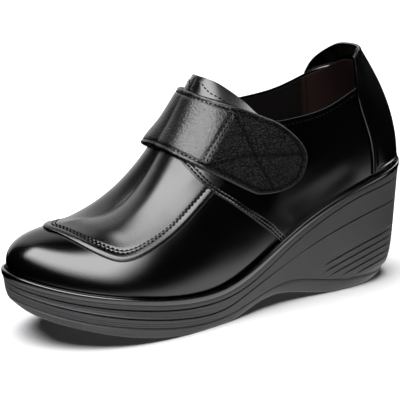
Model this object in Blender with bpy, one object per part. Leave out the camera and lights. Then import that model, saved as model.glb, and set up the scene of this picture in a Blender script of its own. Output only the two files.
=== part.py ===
"""Left wedge platform shoe: wedge sole, welt, lasted leather upper, heel counter and instep strap.

Metres, +Z up. +X points to the toe and +Y to the wearer's left, the outer side. The origin is on the
floor under the middle of the sole. The tables below are in millimetres: a station is measured forwards
from the back of the heel, and a way runs from 0 at the back of the heel to 1 at the tip of the toe.
"""

import bmesh
import bpy
import numpy as np
from mathutils import Vector
from mathutils.bvhtree import BVHTree

MM = 0.001
LENGTH = 247.0
GAP = 0.3
ROUNDING = 1e-6
SIDE_COLUMNS = 36


def table(columns, *rows):
    return dict(zip(columns.split(), np.array(rows, float).T))


# Plan of the sole's upper rim: distance to each side of the line from heel to toe.
TOE_TIP_Y = -5.0
RIM_PLAN = table(
    "station outer inner",
    (8.5, 20.5, 20.5),
    (29, 29.0, 28.5),
    (63.5, 29.0, 28.0),
    (96, 30.5, 29.5),
    (132.5, 36.5, 36.0),
    (166.5, 41.0, 41.5),
    (196.5, 39.3, 41.5),
    (221, 29.8, 36.0),
    (239, 15.5, 24.0),
)

# Heights along the sole: its upper rim, and the seam between wedge and outsole.
SOLE_SIDE = table(
    "station rim seam",
    (0, 69.2, 5.5),
    (28, 64.0, 5.5),
    (63.5, 51.6, 9.4),
    (87, 39.8, 13.6),
    (107, 28.5, 10.6),
    (132, 18.7, 4.6),
    (151.5, 17.4, 4.0),
    (191, 23.2, 10.1),
    (226, 30.5, 18.6),
    (247, 36.4, 25.7),
)

# How far the sole's wall draws in between the rim and the floor: partly as a straight slope, partly as
# a bend near the floor that is tighter for a higher power.
UNDERCUT = table(
    "way inset power",
    (0.00, 14.4, 10.0),
    (0.06, 14.3, 10.0),
    (0.12, 13.7, 10.0),
    (0.16, 12.5, 9.0),
    (0.20, 10.3, 8.0),
    (0.30, 5.5, 6.0),
    (0.42, 4.4, 5.0),
    (0.55, 1.4, 5.0),
    (0.70, 0.0, 5.0),
    (0.86, 1.3, 5.0),
    (0.94, 3.6, 5.0),
    (1.00, 5.0, 5.0),
)
UNDERCUT_STRAIGHT = 0.35

# Underside: flat at heel and ball, hollow at the arch, sprung at the toe.
HEEL_FLAT_END, BALL_FLAT_START, BALL_FLAT_END = 50.0, 130.0, 158.0
ARCH_RISE, ARCH_LEAN, ARCH_POWER = 6.7, 1.3, 1.6
TOE_RISE, TOE_POWER = 20.5, 1.5
FLOOR_EDGE = 1.2

# Tread: bars across the outsole, cut inside a plain margin.
TREAD_DEPTH, TREAD_GROOVE, TREAD_MARGIN = 1.8, 4.0, 9.0
HEEL_TREAD = (34.0, 44.0, 54.0)
BALL_TREAD = (136.0, 148.0, 160.0, 172.0, 184.0)

# Lines moulded in the wedge's wall: one close under the rim and a long one below it, both all round,
# given as drops below the rim. Ribs follow the long line round the heel, and finer ones the toe.
LINE_WIDTH, LINE_DEPTH = 0.8, 0.9
LINE_DROPS = table(
    "station first long",
    (0, 6.2, 20.7),
    (26, 4.0, 16.8),
    (42, 3.3, 16.1),
    (62, 3.7, 15.1),
    (80, 4.2, 13.7),
    (100, 4.5, 10.9),
    (114, 4.4, 9.0),
    (135, 3.2, 9.1),
    (160, 2.9, 8.5),
    (190, 3.0, 8.0),
    (226, 2.8, 6.6),
    (247, 2.7, 6.0),
)
RIB_COUNT, RIB_DEPTH, RIB_DROP, RIB_PITCH = 5, 0.9, 17.7, 4.35
RIB_LEAST, RIB_RUNOUT, RIB_FADE = 0.6, (1.0, 6.0), (58.0, 68.0)
TOE_RIB_DEPTH, TOE_RIB_RISE = 0.35, (135.0, 160.0)

WELT_HEIGHT, WELT_PROUD, WELT_EDGE, WELT_INNER = 3.5, 0.6, 0.9, 1.0
INSOLE_THICK, INSOLE_CLEAR = 3.0, 0.6

# Ledge of the sole outside the upper, and the belly of the upper's wall.
WALL_FOOT = table(
    "way ledge belly",
    (0.0, 3.0, 0.6),
    (0.3, 2.6, 1.6),
    (0.5, 2.4, 2.0),
    (0.7, 2.6, 2.2),
    (0.9, 2.2, 2.6),
    (1.0, 1.8, 3.0),
)
BELLY_FALL = 0.4

# Line over the top of the last: above the collar at the back, up to the instep and down to the toe.
# Full is the power of the section's arch, and lean its shift towards the inner side.
CROWN = table(
    "way station height lean full",
    (0.00, 35.0, 145.0, 0.0, 2.0),
    (0.12, 36.5, 145.5, 0.0, 2.0),
    (0.20, 40.5, 146.5, 0.0, 2.0),
    (0.26, 45.0, 144.0, 0.0, 2.0),
    (0.34, 62.6, 126.0, 0.0, 2.0),
    (0.41, 84.7, 117.0, 0.0, 2.0),
    (0.45, 99.6, 121.4, 0.0, 1.9),
    (0.48, 111.3, 132.8, 0.0, 1.85),
    (0.51, 123.1, 139.6, 0.0, 1.8),
    (0.54, 132.4, 129.3, 0.0, 1.8),
    (0.57, 141.3, 115.1, 0.0, 1.8),
    (0.60, 149.7, 101.3, 0.0, 1.8),
    (0.65, 162.7, 82.6, 0.0, 1.9),
    (0.72, 178.1, 67.6, -1.0, 2.1),
    (0.80, 190.3, 62.1, -2.5, 2.3),
    (0.90, 200.3, 61.4, -4.0, 2.5),
    (1.00, 205.3, 61.5, -4.5, 2.5),
)
CROWN_HALF = table(
    "way width",
    (0.00, 0.0),
    (0.12, 12.5),
    (0.20, 20.5),
    (0.26, 25.0),
    (0.34, 27.8),
    (0.42, 27.5),
    (0.53, 27.0),
)
CROWN_CLOSES = (0.42, 0.525)
DOME_BEGINS = (0.36, 0.53)
WALL_POWER = 2.0

# Side view of the edge of the collar and tongue.
TOPLINE = table(
    "station outer inner",
    (10.4, 128.0, 128.0),
    (22.4, 126.8, 126.8),
    (41.6, 120.8, 121.3),
    (62.8, 112.1, 114.4),
    (82.9, 109.0, 111.8),
    (95.0, 108.5, 111.3),
    (100.9, 109.5, 112.1),
    (105.8, 113.4, 115.0),
    (110.7, 119.3, 119.9),
    (118.5, 126.6, 126.8),
    (125.3, 131.7, 131.7),
    (131.3, 134.3, 134.3),
)

# The upper's wall, inside and outside the last's own surface, with its panels as steps.
WALL_INSIDE, PANEL_RAISED, TOE_SUNK = 1.6, 0.5, -0.6
APRON_SEAM = table(
    "way up",
    (0.40, 0.360),
    (0.54, 0.367),
    (0.61, 0.345),
    (0.66, 0.320),
    (0.71, 0.320),
    (0.75, 0.413),
    (0.82, 0.603),
    (0.88, 0.713),
    (1.00, 0.785),
)
QUARTER_EDGE = table(
    "up way",
    (0.00, 0.418),
    (0.105, 0.437),
    (0.168, 0.452),
    (0.205, 0.467),
    (0.265, 0.500),
    (0.328, 0.527),
    (0.408, 0.550),
    (0.505, 0.569),
    (0.65, 0.588),
    (1.00, 0.600),
)
SEAM_STEP, EDGE_STEP = 0.008, 0.0025
TOE_ROWS, APRON_ROWS = 4, 8
HEEL_COLUMNS, INSTEP_COLUMNS, VAMP_COLUMNS = 14, 7, 14
COLUMN_CROWDING = 1.6

# Counter: the leather round the back. Its rim makes an ear above the collar, given from the edge on the
# inner side at -1 to the one on the outer side at 1.
COUNTER_THICK, COUNTER_FOOT = 1.4, 0.06
COUNTER_ROWS, COUNTER_COLUMNS = 9, 8
COUNTER_RIM = table(
    "across height",
    (-1.00, 121.5),
    (-0.94, 126.3),
    (-0.86, 130.0),
    (-0.70, 134.0),
    (-0.42, 138.6),
    (0.00, 140.9),
    (0.40, 141.7),
    (0.75, 142.1),
    (0.92, 141.8),
    (1.00, 139.0),
)
COUNTER_EDGE = table(
    "up way",
    (0.06, 0.230),
    (0.22, 0.232),
    (0.375, 0.241),
    (0.51, 0.253),
    (0.65, 0.262),
    (0.85, 0.264),
    (1.00, 0.262),
)

# Strap: a band between two planes that slope along it, wrapped over the instep. Lift is how far its
# lower edge stands off the vamp.
STRAP_THICK, STRAP_CLEAR, STRAP_LIFT_ACROSS = 2.4, 0.7, (-0.2, 1.0)
STRAP_CENTRE = (99.3, 0.0, 96.4)
STRAP_FALL = 0.319
STRAP_BAND = table(
    "degrees upper lower lift",
    (-140, -14.0, 23.0, 0.0),
    (-60, -15.5, 24.0, 1.5),
    (-32, -16.0, 23.0, 2.2),
    (-8, -16.0, 19.4, 1.4),
    (20, -15.5, 19.8, 0.5),
    (40, -14.8, 22.8, 0.0),
    (60, -14.0, 26.2, 0.0),
    (75, -13.4, 28.0, 0.0),
    (100, -13.0, 29.5, 0.0),
    (140, -13.0, 29.5, 0.0),
)
STRAP_START = -112.0
STRAP_END_SIDE, STRAP_END_REACH = 29.0, -25.3
STRAP_CORNERS = table("side cut power", (-1, 28.0, 2.6), (1, 28.0, 2.5))
STRAP_BAND_END, STRAP_ROWS, STRAP_COLUMNS, STRAP_END_COLUMNS = 58.0, 8, 32, 9


def spline(knots, values):
    """Cubic spline through the rows of a table, straight at both ends."""
    step = np.diff(knots)
    count = len(knots)
    rows = np.eye(count)
    right = np.zeros(count)
    for i in range(1, count - 1):
        rows[i, i - 1:i + 2] = step[i - 1], 2 * (step[i - 1] + step[i]), step[i]
        right[i] = 6 * ((values[i + 1] - values[i]) / step[i] - (values[i] - values[i - 1]) / step[i - 1])
    bend = np.linalg.solve(rows, right)

    def at(x):
        x = np.clip(x, knots[0], knots[-1])
        i = np.clip(np.searchsorted(knots, x) - 1, 0, count - 2)
        p = (x - knots[i]) / step[i]
        q = 1 - p
        curve = (q ** 3 - q) * bend[i] + (p ** 3 - p) * bend[i + 1]
        return q * values[i] + p * values[i + 1] + step[i] ** 2 / 6 * curve

    return at


def column(rows, key, value):
    return spline(rows[key], rows[value])


def mirrored(rows, value, sign_at_heel=1):
    """Spline over the way from heel to toe that is the same on both sides of heel and toe."""
    way, values = rows["way"], rows[value]
    before = slice(2, 0, -1)
    knots = [-way[before], way]
    shown = [sign_at_heel * values[before], values]
    if way[-1] == 1:
        after = slice(-2, -4, -1)
        knots.append(2 - way[after])
        shown.append(values[after])
    return spline(np.concatenate(knots), np.concatenate(shown))


def ease(x, low, high):
    p = np.clip((x - low) / (high - low), 0, 1)
    return p ** 3 * (p * (6 * p - 15) + 10)


def rim_spline():
    """Side of the rim over a full turn of the outline: 0 at the heel, pi at the toe."""
    angle = np.arccos(1 - 2 * RIM_PLAN["station"] / LENGTH)
    lap = 2 * np.pi
    angles = np.concatenate([[0], angle, [np.pi], lap - angle[::-1]])
    sides = np.concatenate([[0], RIM_PLAN["outer"], [TOE_TIP_Y], -RIM_PLAN["inner"][::-1]])
    return spline(np.concatenate([angles - lap, angles, angles + lap]), np.tile(sides, 3))


rim_side = rim_spline()
rim_height = column(SOLE_SIDE, "station", "rim")
seam_height = column(SOLE_SIDE, "station", "seam")
first_line = column(LINE_DROPS, "station", "first")
long_line = column(LINE_DROPS, "station", "long")
undercut = mirrored(UNDERCUT, "inset")
undercut_power = mirrored(UNDERCUT, "power")
ledge = mirrored(WALL_FOOT, "ledge")
belly = mirrored(WALL_FOOT, "belly")
crown_station = mirrored(CROWN, "station")
crown_height = mirrored(CROWN, "height")
crown_lean = mirrored(CROWN, "lean")
crown_full = mirrored(CROWN, "full")
crown_half = mirrored(CROWN_HALF, "width", sign_at_heel=-1)
topline_outer = column(TOPLINE, "station", "outer")
topline_inner = column(TOPLINE, "station", "inner")
apron_seam = column(APRON_SEAM, "way", "up")
quarter_edge = column(QUARTER_EDGE, "up", "way")
counter_edge = column(COUNTER_EDGE, "up", "way")
counter_rim = column(COUNTER_RIM, "across", "height")
strap_upper = column(STRAP_BAND, "degrees", "upper")
strap_lower = column(STRAP_BAND, "degrees", "lower")
strap_lift = column(STRAP_BAND, "degrees", "lift")


def fold(turn):
    """Way and side (+1 outer, -1 inner) of a turn of the outline, 0 to 2 from heel to heel."""
    turn = np.mod(turn, 2.0)
    return np.where(turn <= 1, turn, 2 - turn), np.where(turn <= 1, 1.0, -1.0)


def plan_normal(turn):
    angle = np.pi * np.mod(turn, 2.0)
    nudge = 1e-4
    slope = (rim_side(angle + nudge) - rim_side(angle - nudge)) / (2 * nudge)
    run = LENGTH / 2 * np.sin(angle)
    size = np.hypot(run, slope)
    return -slope / size, run / size


def rim_station(turn):
    return LENGTH / 2 * (1 - np.cos(np.pi * np.mod(turn, 2.0)))


def plan(turn, outset=0.0):
    """Station and side of the rim's outline, moved outwards."""
    out_station, out_side = plan_normal(turn)
    side = rim_side(np.pi * np.mod(turn, 2.0))
    return rim_station(turn) + outset * out_station, side + outset * out_side


def floor_height(station):
    arch_run = np.clip((station - HEEL_FLAT_END) / (BALL_FLAT_START - HEEL_FLAT_END), 0, 1)
    toe_run = np.clip((station - BALL_FLAT_END) / (LENGTH - BALL_FLAT_END), 0, 1)
    arch = np.sin(np.pi * arch_run ** ARCH_LEAN) ** ARCH_POWER
    return ARCH_RISE * arch + TOE_RISE * toe_run ** TOE_POWER


def sole_point(turn, height, sunk=0.0):
    """Point of the sole's wall at a height, with a groove's depth taken off."""
    way, _ = fold(turn)
    station = rim_station(turn)
    low = floor_height(station)
    drop = np.clip((rim_height(station) - height) / (rim_height(station) - low), 0, 1)
    drawn = UNDERCUT_STRAIGHT * drop + (1 - UNDERCUT_STRAIGHT) * drop ** undercut_power(way)
    along, side = plan(turn, -undercut(way) * drawn - sunk)
    return np.stack([along, side, height + 0 * along], -1)


def last_point(turn, up):
    """Point of the lasted upper: up is 0 at the welt and 1 at the crown."""
    way, side = fold(turn)
    up = np.clip(up, 0, 1)
    out_station, out_side = plan_normal(turn)
    foot_station, foot_side = plan(turn, -ledge(way))
    foot_height = rim_height(foot_station) + GAP
    top_side = crown_lean(way) + side * crown_half(way) * (1 - ease(way, *CROWN_CLOSES))
    power = 2 / crown_full(way)
    dome = ease(way, *DOME_BEGINS)
    angle = up * np.pi / 2
    inward = dome * (1 - np.cos(angle) ** power) + (1 - dome) * up ** WALL_POWER
    rise = dome * np.sin(angle) ** power + (1 - dome) * up
    swell = belly(way) * np.sin(np.pi * up) * (1 - BELLY_FALL * up)
    return np.stack([
        foot_station + (crown_station(way) - foot_station) * inward + out_station * swell,
        foot_side + (top_side - foot_side) * inward + out_side * swell,
        foot_height + (crown_height(way) - foot_height) * rise,
    ], -1)


def last_normal(turn, up):
    turn_step, up_step = 1e-3, 0.01
    up = np.clip(up, 2 * up_step, 1 - 2 * up_step)
    along = last_point(turn + turn_step, up) - last_point(turn - turn_step, up)
    upwards = last_point(turn, up + up_step) - last_point(turn, up - up_step)
    normal = np.cross(upwards, along)
    return normal / np.linalg.norm(normal, axis=-1, keepdims=True)


def throat_way():
    """Way at which the edge of the tongue crosses the ridge of the instep."""
    ways = np.linspace(*CROWN_CLOSES, 400) + (CROWN_CLOSES[1] - CROWN_CLOSES[0]) / 4
    over = crown_height(ways) - topline_outer(crown_station(ways))
    return np.interp(0, -over, ways)


def collar_up(turn):
    """How far up the wall reaches before the topline cuts it."""
    turn = np.asarray(turn, float)
    ups = np.linspace(0, 1, 301)
    points = last_point(turn[..., None] + 0 * ups, ups + 0 * turn[..., None])
    side = fold(turn)[1][..., None]
    cut = np.where(side > 0, topline_outer(points[..., 0]), topline_inner(points[..., 0]))
    over = points[..., 2] - cut
    crossing = (over[..., :-1] < 0) & (over[..., 1:] >= 0)
    first = crossing.argmax(-1)
    below = np.take_along_axis(over, first[..., None], -1)[..., 0]
    above = np.take_along_axis(over, first[..., None] + 1, -1)[..., 0]
    at = ups[first] + (ups[1] - ups[0]) * below / (below - above)
    return np.where(crossing.any(-1) & (fold(turn)[0] < throat_way() - ROUNDING), at, 1.0)


def material(name, colour, roughness):
    made = bpy.data.materials.new(name)
    made.use_nodes = True
    shader = made.node_tree.nodes["Principled BSDF"]
    shader.inputs["Base Color"].default_value = (*colour, 1)
    shader.inputs["Roughness"].default_value = roughness
    shader.inputs["Metallic"].default_value = 0.0
    return made


def loft(name, sheets, finish, collection):
    """One closed body from sheets of points that share their edges."""
    bm = bmesh.new()
    shift = np.array([LENGTH / 2, 0, 0])
    for sheet in sheets:
        points = (np.asarray(sheet) - shift) * MM
        verts = [[bm.verts.new(p) for p in row] for row in points]
        for low, high in zip(verts, verts[1:]):
            for a, b, c, d in zip(low, low[1:], high[1:], high):
                bm.faces.new((a, b, c, d))
    bmesh.ops.remove_doubles(bm, verts=bm.verts, dist=0.001 * MM)
    bmesh.ops.triangulate(bm, faces=bm.faces)
    bmesh.ops.recalc_face_normals(bm, faces=bm.faces)
    mesh = bpy.data.meshes.new(name)
    bm.to_mesh(mesh)
    bm.free()
    mesh.shade_smooth()
    mesh.set_sharp_from_angle(angle=np.radians(35))
    mesh.materials.append(finish)
    made = bpy.data.objects.new(name, mesh)
    collection.objects.link(made)
    return made


def ring_turns():
    """Turns all round the outline, evenly spaced on each side, with the first again at the end."""
    return np.linspace(0, 2, 2 * SIDE_COLUMNS + 1)


def ladder(ring):
    """Sheet across a ring, from its outer side to its inner side."""
    return np.stack([ring[:SIDE_COLUMNS + 1], ring[SIDE_COLUMNS:][::-1]])


def wedge_rows(station):
    """Height and depth of the rows of the wedge's wall, from the rim down to the seam."""
    rim = rim_height(station)
    seam = seam_height(station) + GAP
    toe_depth = TOE_RIB_DEPTH * ease(station, *TOE_RIB_RISE)
    heel_depth = RIB_DEPTH * (1 - ease(station, *RIB_FADE))
    half = LINE_WIDTH / 2
    first, long = rim - first_line(station), rim - long_line(station)
    rows = [(rim, 0.0), (first + half, 0.0), (first, LINE_DEPTH), (first - half, 0.0)]
    for share, depth in ((1 / 3, toe_depth), (1 / 2, 0.0), (2 / 3, toe_depth)):
        rows.append((first - half + (long - first + LINE_WIDTH) * share, depth))
    rows += [(long + half, 0.0), (long, LINE_DEPTH), (long - half, 0.0)]
    above = long - half
    for k in range(RIB_COUNT):
        parallel = long - RIB_DROP - RIB_PITCH * k
        height = np.maximum(parallel, seam + RIB_LEAST * (RIB_COUNT - k))
        depth = heel_depth * ease(height - seam, *RIB_RUNOUT) + toe_depth * (k % 2)
        rows += [(np.minimum((above + height) / 2, height + RIB_PITCH / 2), 0.0), (height, depth)]
        above = height
    return rows + [((above + seam) / 2, 0.0), (seam, LINE_DEPTH / 2)]


def wedge(collection):
    turn = ring_turns()
    rows = wedge_rows(rim_station(turn))
    wall = np.stack([sole_point(turn, height, sunk) for height, sunk in rows])
    sheets = [wall, ladder(wall[0]), ladder(wall[-1])]
    return loft("wedge", sheets, material("wedge_foam", (0.055, 0.055, 0.058), 0.55), collection)


def outsole(collection, cutters):
    turn = ring_turns()
    station = rim_station(turn)
    low = floor_height(station)
    seam = seam_height(station)
    lip = (seam - low) * 0.2
    rows = [
        (seam, LINE_DEPTH / 2),
        (seam - lip, 0.0),
        (low + FLOOR_EDGE, 0.0),
        (low + FLOOR_EDGE * 0.3, FLOOR_EDGE * 0.3),
        (low, FLOOR_EDGE),
    ]
    wall = np.stack([sole_point(turn, height, sunk) for height, sunk in rows])
    sheets = [wall, ladder(wall[0]), ladder(wall[-1])]
    made = loft("outsole", sheets, material("outsole_rubber", (0.05, 0.05, 0.052), 0.6), collection)
    for station in HEEL_TREAD + BALL_TREAD:
        way = np.arccos(1 - 2 * station / LENGTH) / np.pi
        edges = [sole_point(np.array(side), floor_height(np.array(station)))[1] for side in (way, 2 - way)]
        outer, inner = edges[0] - TREAD_MARGIN, edges[1] + TREAD_MARGIN
        bpy.ops.mesh.primitive_cube_add(size=MM)
        groove = bpy.context.object
        groove.name = f"tread_groove_{station:.0f}"
        groove.scale = (TREAD_GROOVE, outer - inner, 2 * TREAD_DEPTH)
        low = floor_height(station)
        groove.location = Vector((station - LENGTH / 2, (outer + inner) / 2, low)) * MM
        groove.hide_render = True
        groove.display_type = "WIRE"
        for owner in groove.users_collection:
            owner.objects.unlink(groove)
        cutters.objects.link(groove)
        cut = made.modifiers.new(groove.name, "BOOLEAN")
        cut.operation = "DIFFERENCE"
        cut.object = groove
    return made


def welt(collection):
    turn = ring_turns()
    way, _ = fold(turn)
    bottom = rim_height(rim_station(turn)) + GAP
    inner = -ledge(way) + WELT_INNER
    rows = [
        (inner, 0.0),
        (WELT_PROUD, 0.0),
        (WELT_PROUD, WELT_HEIGHT - WELT_EDGE),
        (WELT_PROUD - WELT_EDGE / 3, WELT_HEIGHT - WELT_EDGE / 3),
        (WELT_PROUD - WELT_EDGE, WELT_HEIGHT),
        (inner, WELT_HEIGHT),
        (inner, 0.0),
    ]
    points = [np.stack([*plan(turn, outset), bottom + rise], -1) for outset, rise in rows]
    return loft("welt", [np.stack(points)], material("welt_leather", (0.012, 0.012, 0.013), 0.3), collection)


def insole(collection):
    turn = ring_turns()
    way, _ = fold(turn)
    along, side = plan(turn, -ledge(way) - WALL_INSIDE - INSOLE_CLEAR)
    bottom = np.stack([along, side, rim_height(along) + GAP], -1)
    top = bottom + np.array([0, 0, INSOLE_THICK])
    sheets = [np.stack([bottom, top]), ladder(bottom), ladder(top)]
    return loft("insole", sheets, material("insole_leather", (0.09, 0.06, 0.055), 0.7), collection)


def upper_ways(up):
    """Ways of the upper's columns on each row: they follow the throat and the quarter's front edge."""
    edge = quarter_edge(up)
    throat = edge - (quarter_edge(1.0) - throat_way()) * (0.7 + 0.3 * up)
    heel = 1 - (1 - np.linspace(0, 1, HEEL_COLUMNS + 1)) ** COLUMN_CROWDING
    instep = np.linspace(0, 1, INSTEP_COLUMNS + 1)[1:]
    vamp = np.linspace(0, 1, VAMP_COLUMNS + 1)
    parts = np.split(np.arange(up.shape[1]), [len(heel), len(heel) + len(instep)])
    behind, under, ahead = parts
    return np.concatenate([
        throat[:, behind] * heel,
        throat[:, under] + (edge - EDGE_STEP - throat)[:, under] * instep,
        edge[:, ahead] + EDGE_STEP + (1 - edge - EDGE_STEP)[:, ahead] * vamp,
    ], axis=1)


def upper_side(side):
    """Outer and inner sheet of one side of the upper, rows from welt to collar, columns from heel to toe."""
    low = np.linspace(0, 1, TOE_ROWS + 1)[:, None]
    high = np.linspace(0, 1, APRON_ROWS + 1)[:, None]
    toe_rows = len(low)
    quarter_columns = HEEL_COLUMNS + INSTEP_COLUMNS + 1
    up = np.linspace(0, 1, toe_rows + len(high))[:, None] * np.ones(quarter_columns + VAMP_COLUMNS + 1)
    for _ in range(8):
        way = upper_ways(up)
        under, over = apron_seam(way) - SEAM_STEP, apron_seam(way) + SEAM_STEP
        up = np.concatenate([under[:toe_rows] * low, over[toe_rows:] + (1 - over[toe_rows:]) * high])
    turn = way if side > 0 else 2 - way
    up = up * (1 - (1 - collar_up(turn[-1])) * up ** 2)
    raised = np.full(up.shape, PANEL_RAISED)
    raised[:toe_rows, quarter_columns:] = TOE_SUNK
    base = last_point(turn, up)
    normal = last_normal(turn, up)
    ridge = way[-1] > throat_way() - ROUNDING
    shared = last_normal(way[-1, ridge], 1.0) + last_normal(2 - way[-1, ridge], 1.0)
    normal[-1, ridge] = shared / np.linalg.norm(shared, axis=-1, keepdims=True)
    outside = base + normal * raised[..., None]
    inside = base - normal * WALL_INSIDE
    for sheet in (outside, inside):
        sheet[0, :, 2] = rim_height(sheet[0, :, 0]) + GAP
    return outside, inside, int(np.argmax(ridge))


def upper(collection):
    sheets = []
    for side in (1, -1):
        outside, inside, throat = upper_side(side)
        foot = np.stack([outside[0], inside[0]])
        collar = np.stack([outside[-1, :throat + 1], inside[-1, :throat + 1]])
        sheets += [outside, inside, foot, collar]
    return loft("upper", sheets, material("upper_leather", (0.012, 0.012, 0.013), 0.3), collection)


def counter(collection):
    half = np.linspace(0, 1, COUNTER_COLUMNS + 1)
    across = np.concatenate([-half[:0:-1], half])
    edge = np.mod(across * counter_edge(1.0), 2.0)
    foot, crown = last_point(edge, 0.0)[:, 2], last_point(edge, 1.0)[:, 2]
    top = (counter_rim(across) - foot) / (crown - foot)
    up = COUNTER_FOOT + (top - COUNTER_FOOT) * np.linspace(0, 1, COUNTER_ROWS + 1)[:, None]
    turn = np.mod(across * counter_edge(up), 2.0)
    base = last_point(turn, up)
    normal = last_normal(turn, up)
    inside = base + normal * (PANEL_RAISED + GAP)
    outside = inside + normal * COUNTER_THICK
    rim = [np.stack([inside[i], outside[i]]) for i in (0, -1)]
    ends = [np.stack([inside[:, j], outside[:, j]]) for j in (0, -1)]
    sheets = [inside, outside, *rim, *ends]
    return loft("counter", sheets, material("counter_leather", (0.012, 0.012, 0.013), 0.3), collection)


def strap_end(share):
    """Degrees at which the strap ends, across its width: -1 upper edge, +1 lower edge."""
    row = (share > 0).astype(int)
    cut = STRAP_CORNERS["cut"][row] * abs(share) ** STRAP_CORNERS["power"][row]
    return np.degrees(np.arctan2(STRAP_END_SIDE, STRAP_END_REACH + cut))


def strap_hits(degrees, across):
    """Points and normals of the last where rays towards the strap's axis meet it."""
    turns = np.linspace(0, 2, 321)
    ups = np.linspace(0, 1, 161)
    skin = last_point(turns[:, None] + 0 * ups, ups + 0 * turns[:, None])
    count = len(ups)
    quads = [(i * count + j, (i + 1) * count + j, (i + 1) * count + j + 1, i * count + j + 1)
             for i in range(len(turns) - 1) for j in range(count - 1)]
    tree = BVHTree.FromPolygons([Vector(p) for p in skin.reshape(-1, 3)], quads)
    steep = np.sqrt(1 - STRAP_FALL ** 2)
    down = Vector((STRAP_FALL, 0, -steep))
    forward = Vector((steep, 0, STRAP_FALL))
    points = np.zeros((*degrees.shape, 3))
    for index, angle in np.ndenumerate(np.radians(degrees)):
        ray = forward * np.cos(angle) + Vector((0, np.sin(angle), 0))
        outside = Vector(STRAP_CENTRE) + down * across[index] + ray * LENGTH
        points[index] = tree.ray_cast(outside, -ray)[0]
    along = np.gradient(points, axis=1)
    side = np.gradient(points, axis=0)
    normal = np.cross(side, along)
    normal /= np.linalg.norm(normal, axis=-1, keepdims=True)
    return points, normal


def strap(collection):
    share = np.linspace(-1, 1, STRAP_ROWS + 1)[:, None]
    band = np.linspace(STRAP_START, STRAP_BAND_END, STRAP_COLUMNS + 1) + 0 * share
    end = STRAP_BAND_END + (strap_end(share) - STRAP_BAND_END) * np.linspace(0, 1, STRAP_END_COLUMNS + 1)[1:]
    degrees = np.concatenate([band, end], axis=1)
    upper_edge, lower_edge = strap_upper(degrees), strap_lower(degrees)
    across = (upper_edge + lower_edge) / 2 + share * (lower_edge - upper_edge) / 2
    base, normal = strap_hits(degrees, across)
    stand = PANEL_RAISED + STRAP_CLEAR + strap_lift(degrees) * ease(share, *STRAP_LIFT_ACROSS)
    inside = base + normal * stand[..., None]
    outside = inside + normal * STRAP_THICK
    rim = [np.stack([inside[i], outside[i]]) for i in (0, -1)]
    ends = [np.stack([inside[:, j], outside[:, j]]) for j in (0, -1)]
    sheets = [inside, outside, *rim, *ends]
    return loft("strap", sheets, material("strap_leather", (0.014, 0.014, 0.015), 0.35), collection)


def main():
    for old in list(bpy.data.objects):
        bpy.data.objects.remove(old, do_unlink=True)
    shoe = bpy.data.collections.new("wedge_platform_shoe")
    cutters = bpy.data.collections.new("cutters")
    for made in (shoe, cutters):
        bpy.context.scene.collection.children.link(made)
    outsole(shoe, cutters)
    wedge(shoe)
    welt(shoe)
    insole(shoe)
    upper(shoe)
    counter(shoe)
    strap(shoe)


main()
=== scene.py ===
import bmesh
import bpy
import numpy as np
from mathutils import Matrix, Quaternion, Vector
from mathutils.bvhtree import BVHTree
from mathutils.kdtree import KDTree


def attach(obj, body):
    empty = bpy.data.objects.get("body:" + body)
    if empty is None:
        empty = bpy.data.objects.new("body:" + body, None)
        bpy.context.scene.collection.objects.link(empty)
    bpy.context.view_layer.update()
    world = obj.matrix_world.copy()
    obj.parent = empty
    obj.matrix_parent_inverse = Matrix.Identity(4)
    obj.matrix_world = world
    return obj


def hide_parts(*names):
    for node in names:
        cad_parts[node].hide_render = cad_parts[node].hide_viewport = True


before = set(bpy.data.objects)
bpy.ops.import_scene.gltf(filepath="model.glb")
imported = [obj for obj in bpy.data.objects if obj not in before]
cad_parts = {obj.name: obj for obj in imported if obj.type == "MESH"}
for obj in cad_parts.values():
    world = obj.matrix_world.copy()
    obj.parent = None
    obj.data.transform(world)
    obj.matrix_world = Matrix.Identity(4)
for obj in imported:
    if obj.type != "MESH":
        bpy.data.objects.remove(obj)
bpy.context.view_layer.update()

mm = 0.001
print("frame loaded:", ", ".join(sorted(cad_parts)))


def table(columns, *rows):
    return dict(zip(columns.split(), np.array(rows, float).T))


# The shoe's own form, in millimetres. A station runs forwards from the back of the heel,
# a way from 0 at the heel to 1 at the toe, and up from 0 at the welt to 1 at the crown.
sole = {
    "length": 247.0,
    "toeTipSide": -5.0,
    "rimPlan": table(
        "station outer inner",
        (8.5, 20.5, 20.5),
        (29, 29.0, 28.5),
        (63.5, 29.0, 28.0),
        (96, 30.5, 29.5),
        (132.5, 36.5, 36.0),
        (166.5, 41.0, 41.5),
        (196.5, 39.3, 41.5),
        (221, 29.8, 36.0),
        (239, 15.5, 24.0),
    ),
    "side": table(
        "station rim seam",
        (0, 69.2, 5.5),
        (28, 64.0, 5.5),
        (63.5, 51.6, 9.4),
        (87, 39.8, 13.6),
        (107, 28.5, 10.6),
        (132, 18.7, 4.6),
        (151.5, 17.4, 4.0),
        (191, 23.2, 10.1),
        (226, 30.5, 18.6),
        (247, 36.4, 25.7),
    ),
    "undercut": table(
        "way inset power",
        (0.00, 14.4, 10.0),
        (0.06, 14.3, 10.0),
        (0.12, 13.7, 10.0),
        (0.16, 12.5, 9.0),
        (0.20, 10.3, 8.0),
        (0.30, 5.5, 6.0),
        (0.42, 4.4, 5.0),
        (0.55, 1.4, 5.0),
        (0.70, 0.0, 5.0),
        (0.86, 1.3, 5.0),
        (0.94, 3.6, 5.0),
        (1.00, 5.0, 5.0),
    ),
    "straight": 0.35,       # share of the undercut that is a straight slope; the rest bends near the floor
    "heelFlatEnd": 50.0,
    "ballFlat": (130.0, 158.0),
    "arch": {"rise": 6.7, "lean": 1.3, "power": 1.6},
    "toe": {"rise": 20.5, "power": 1.5},
    "gap": 0.3,             # between pieces that meet
}
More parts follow.
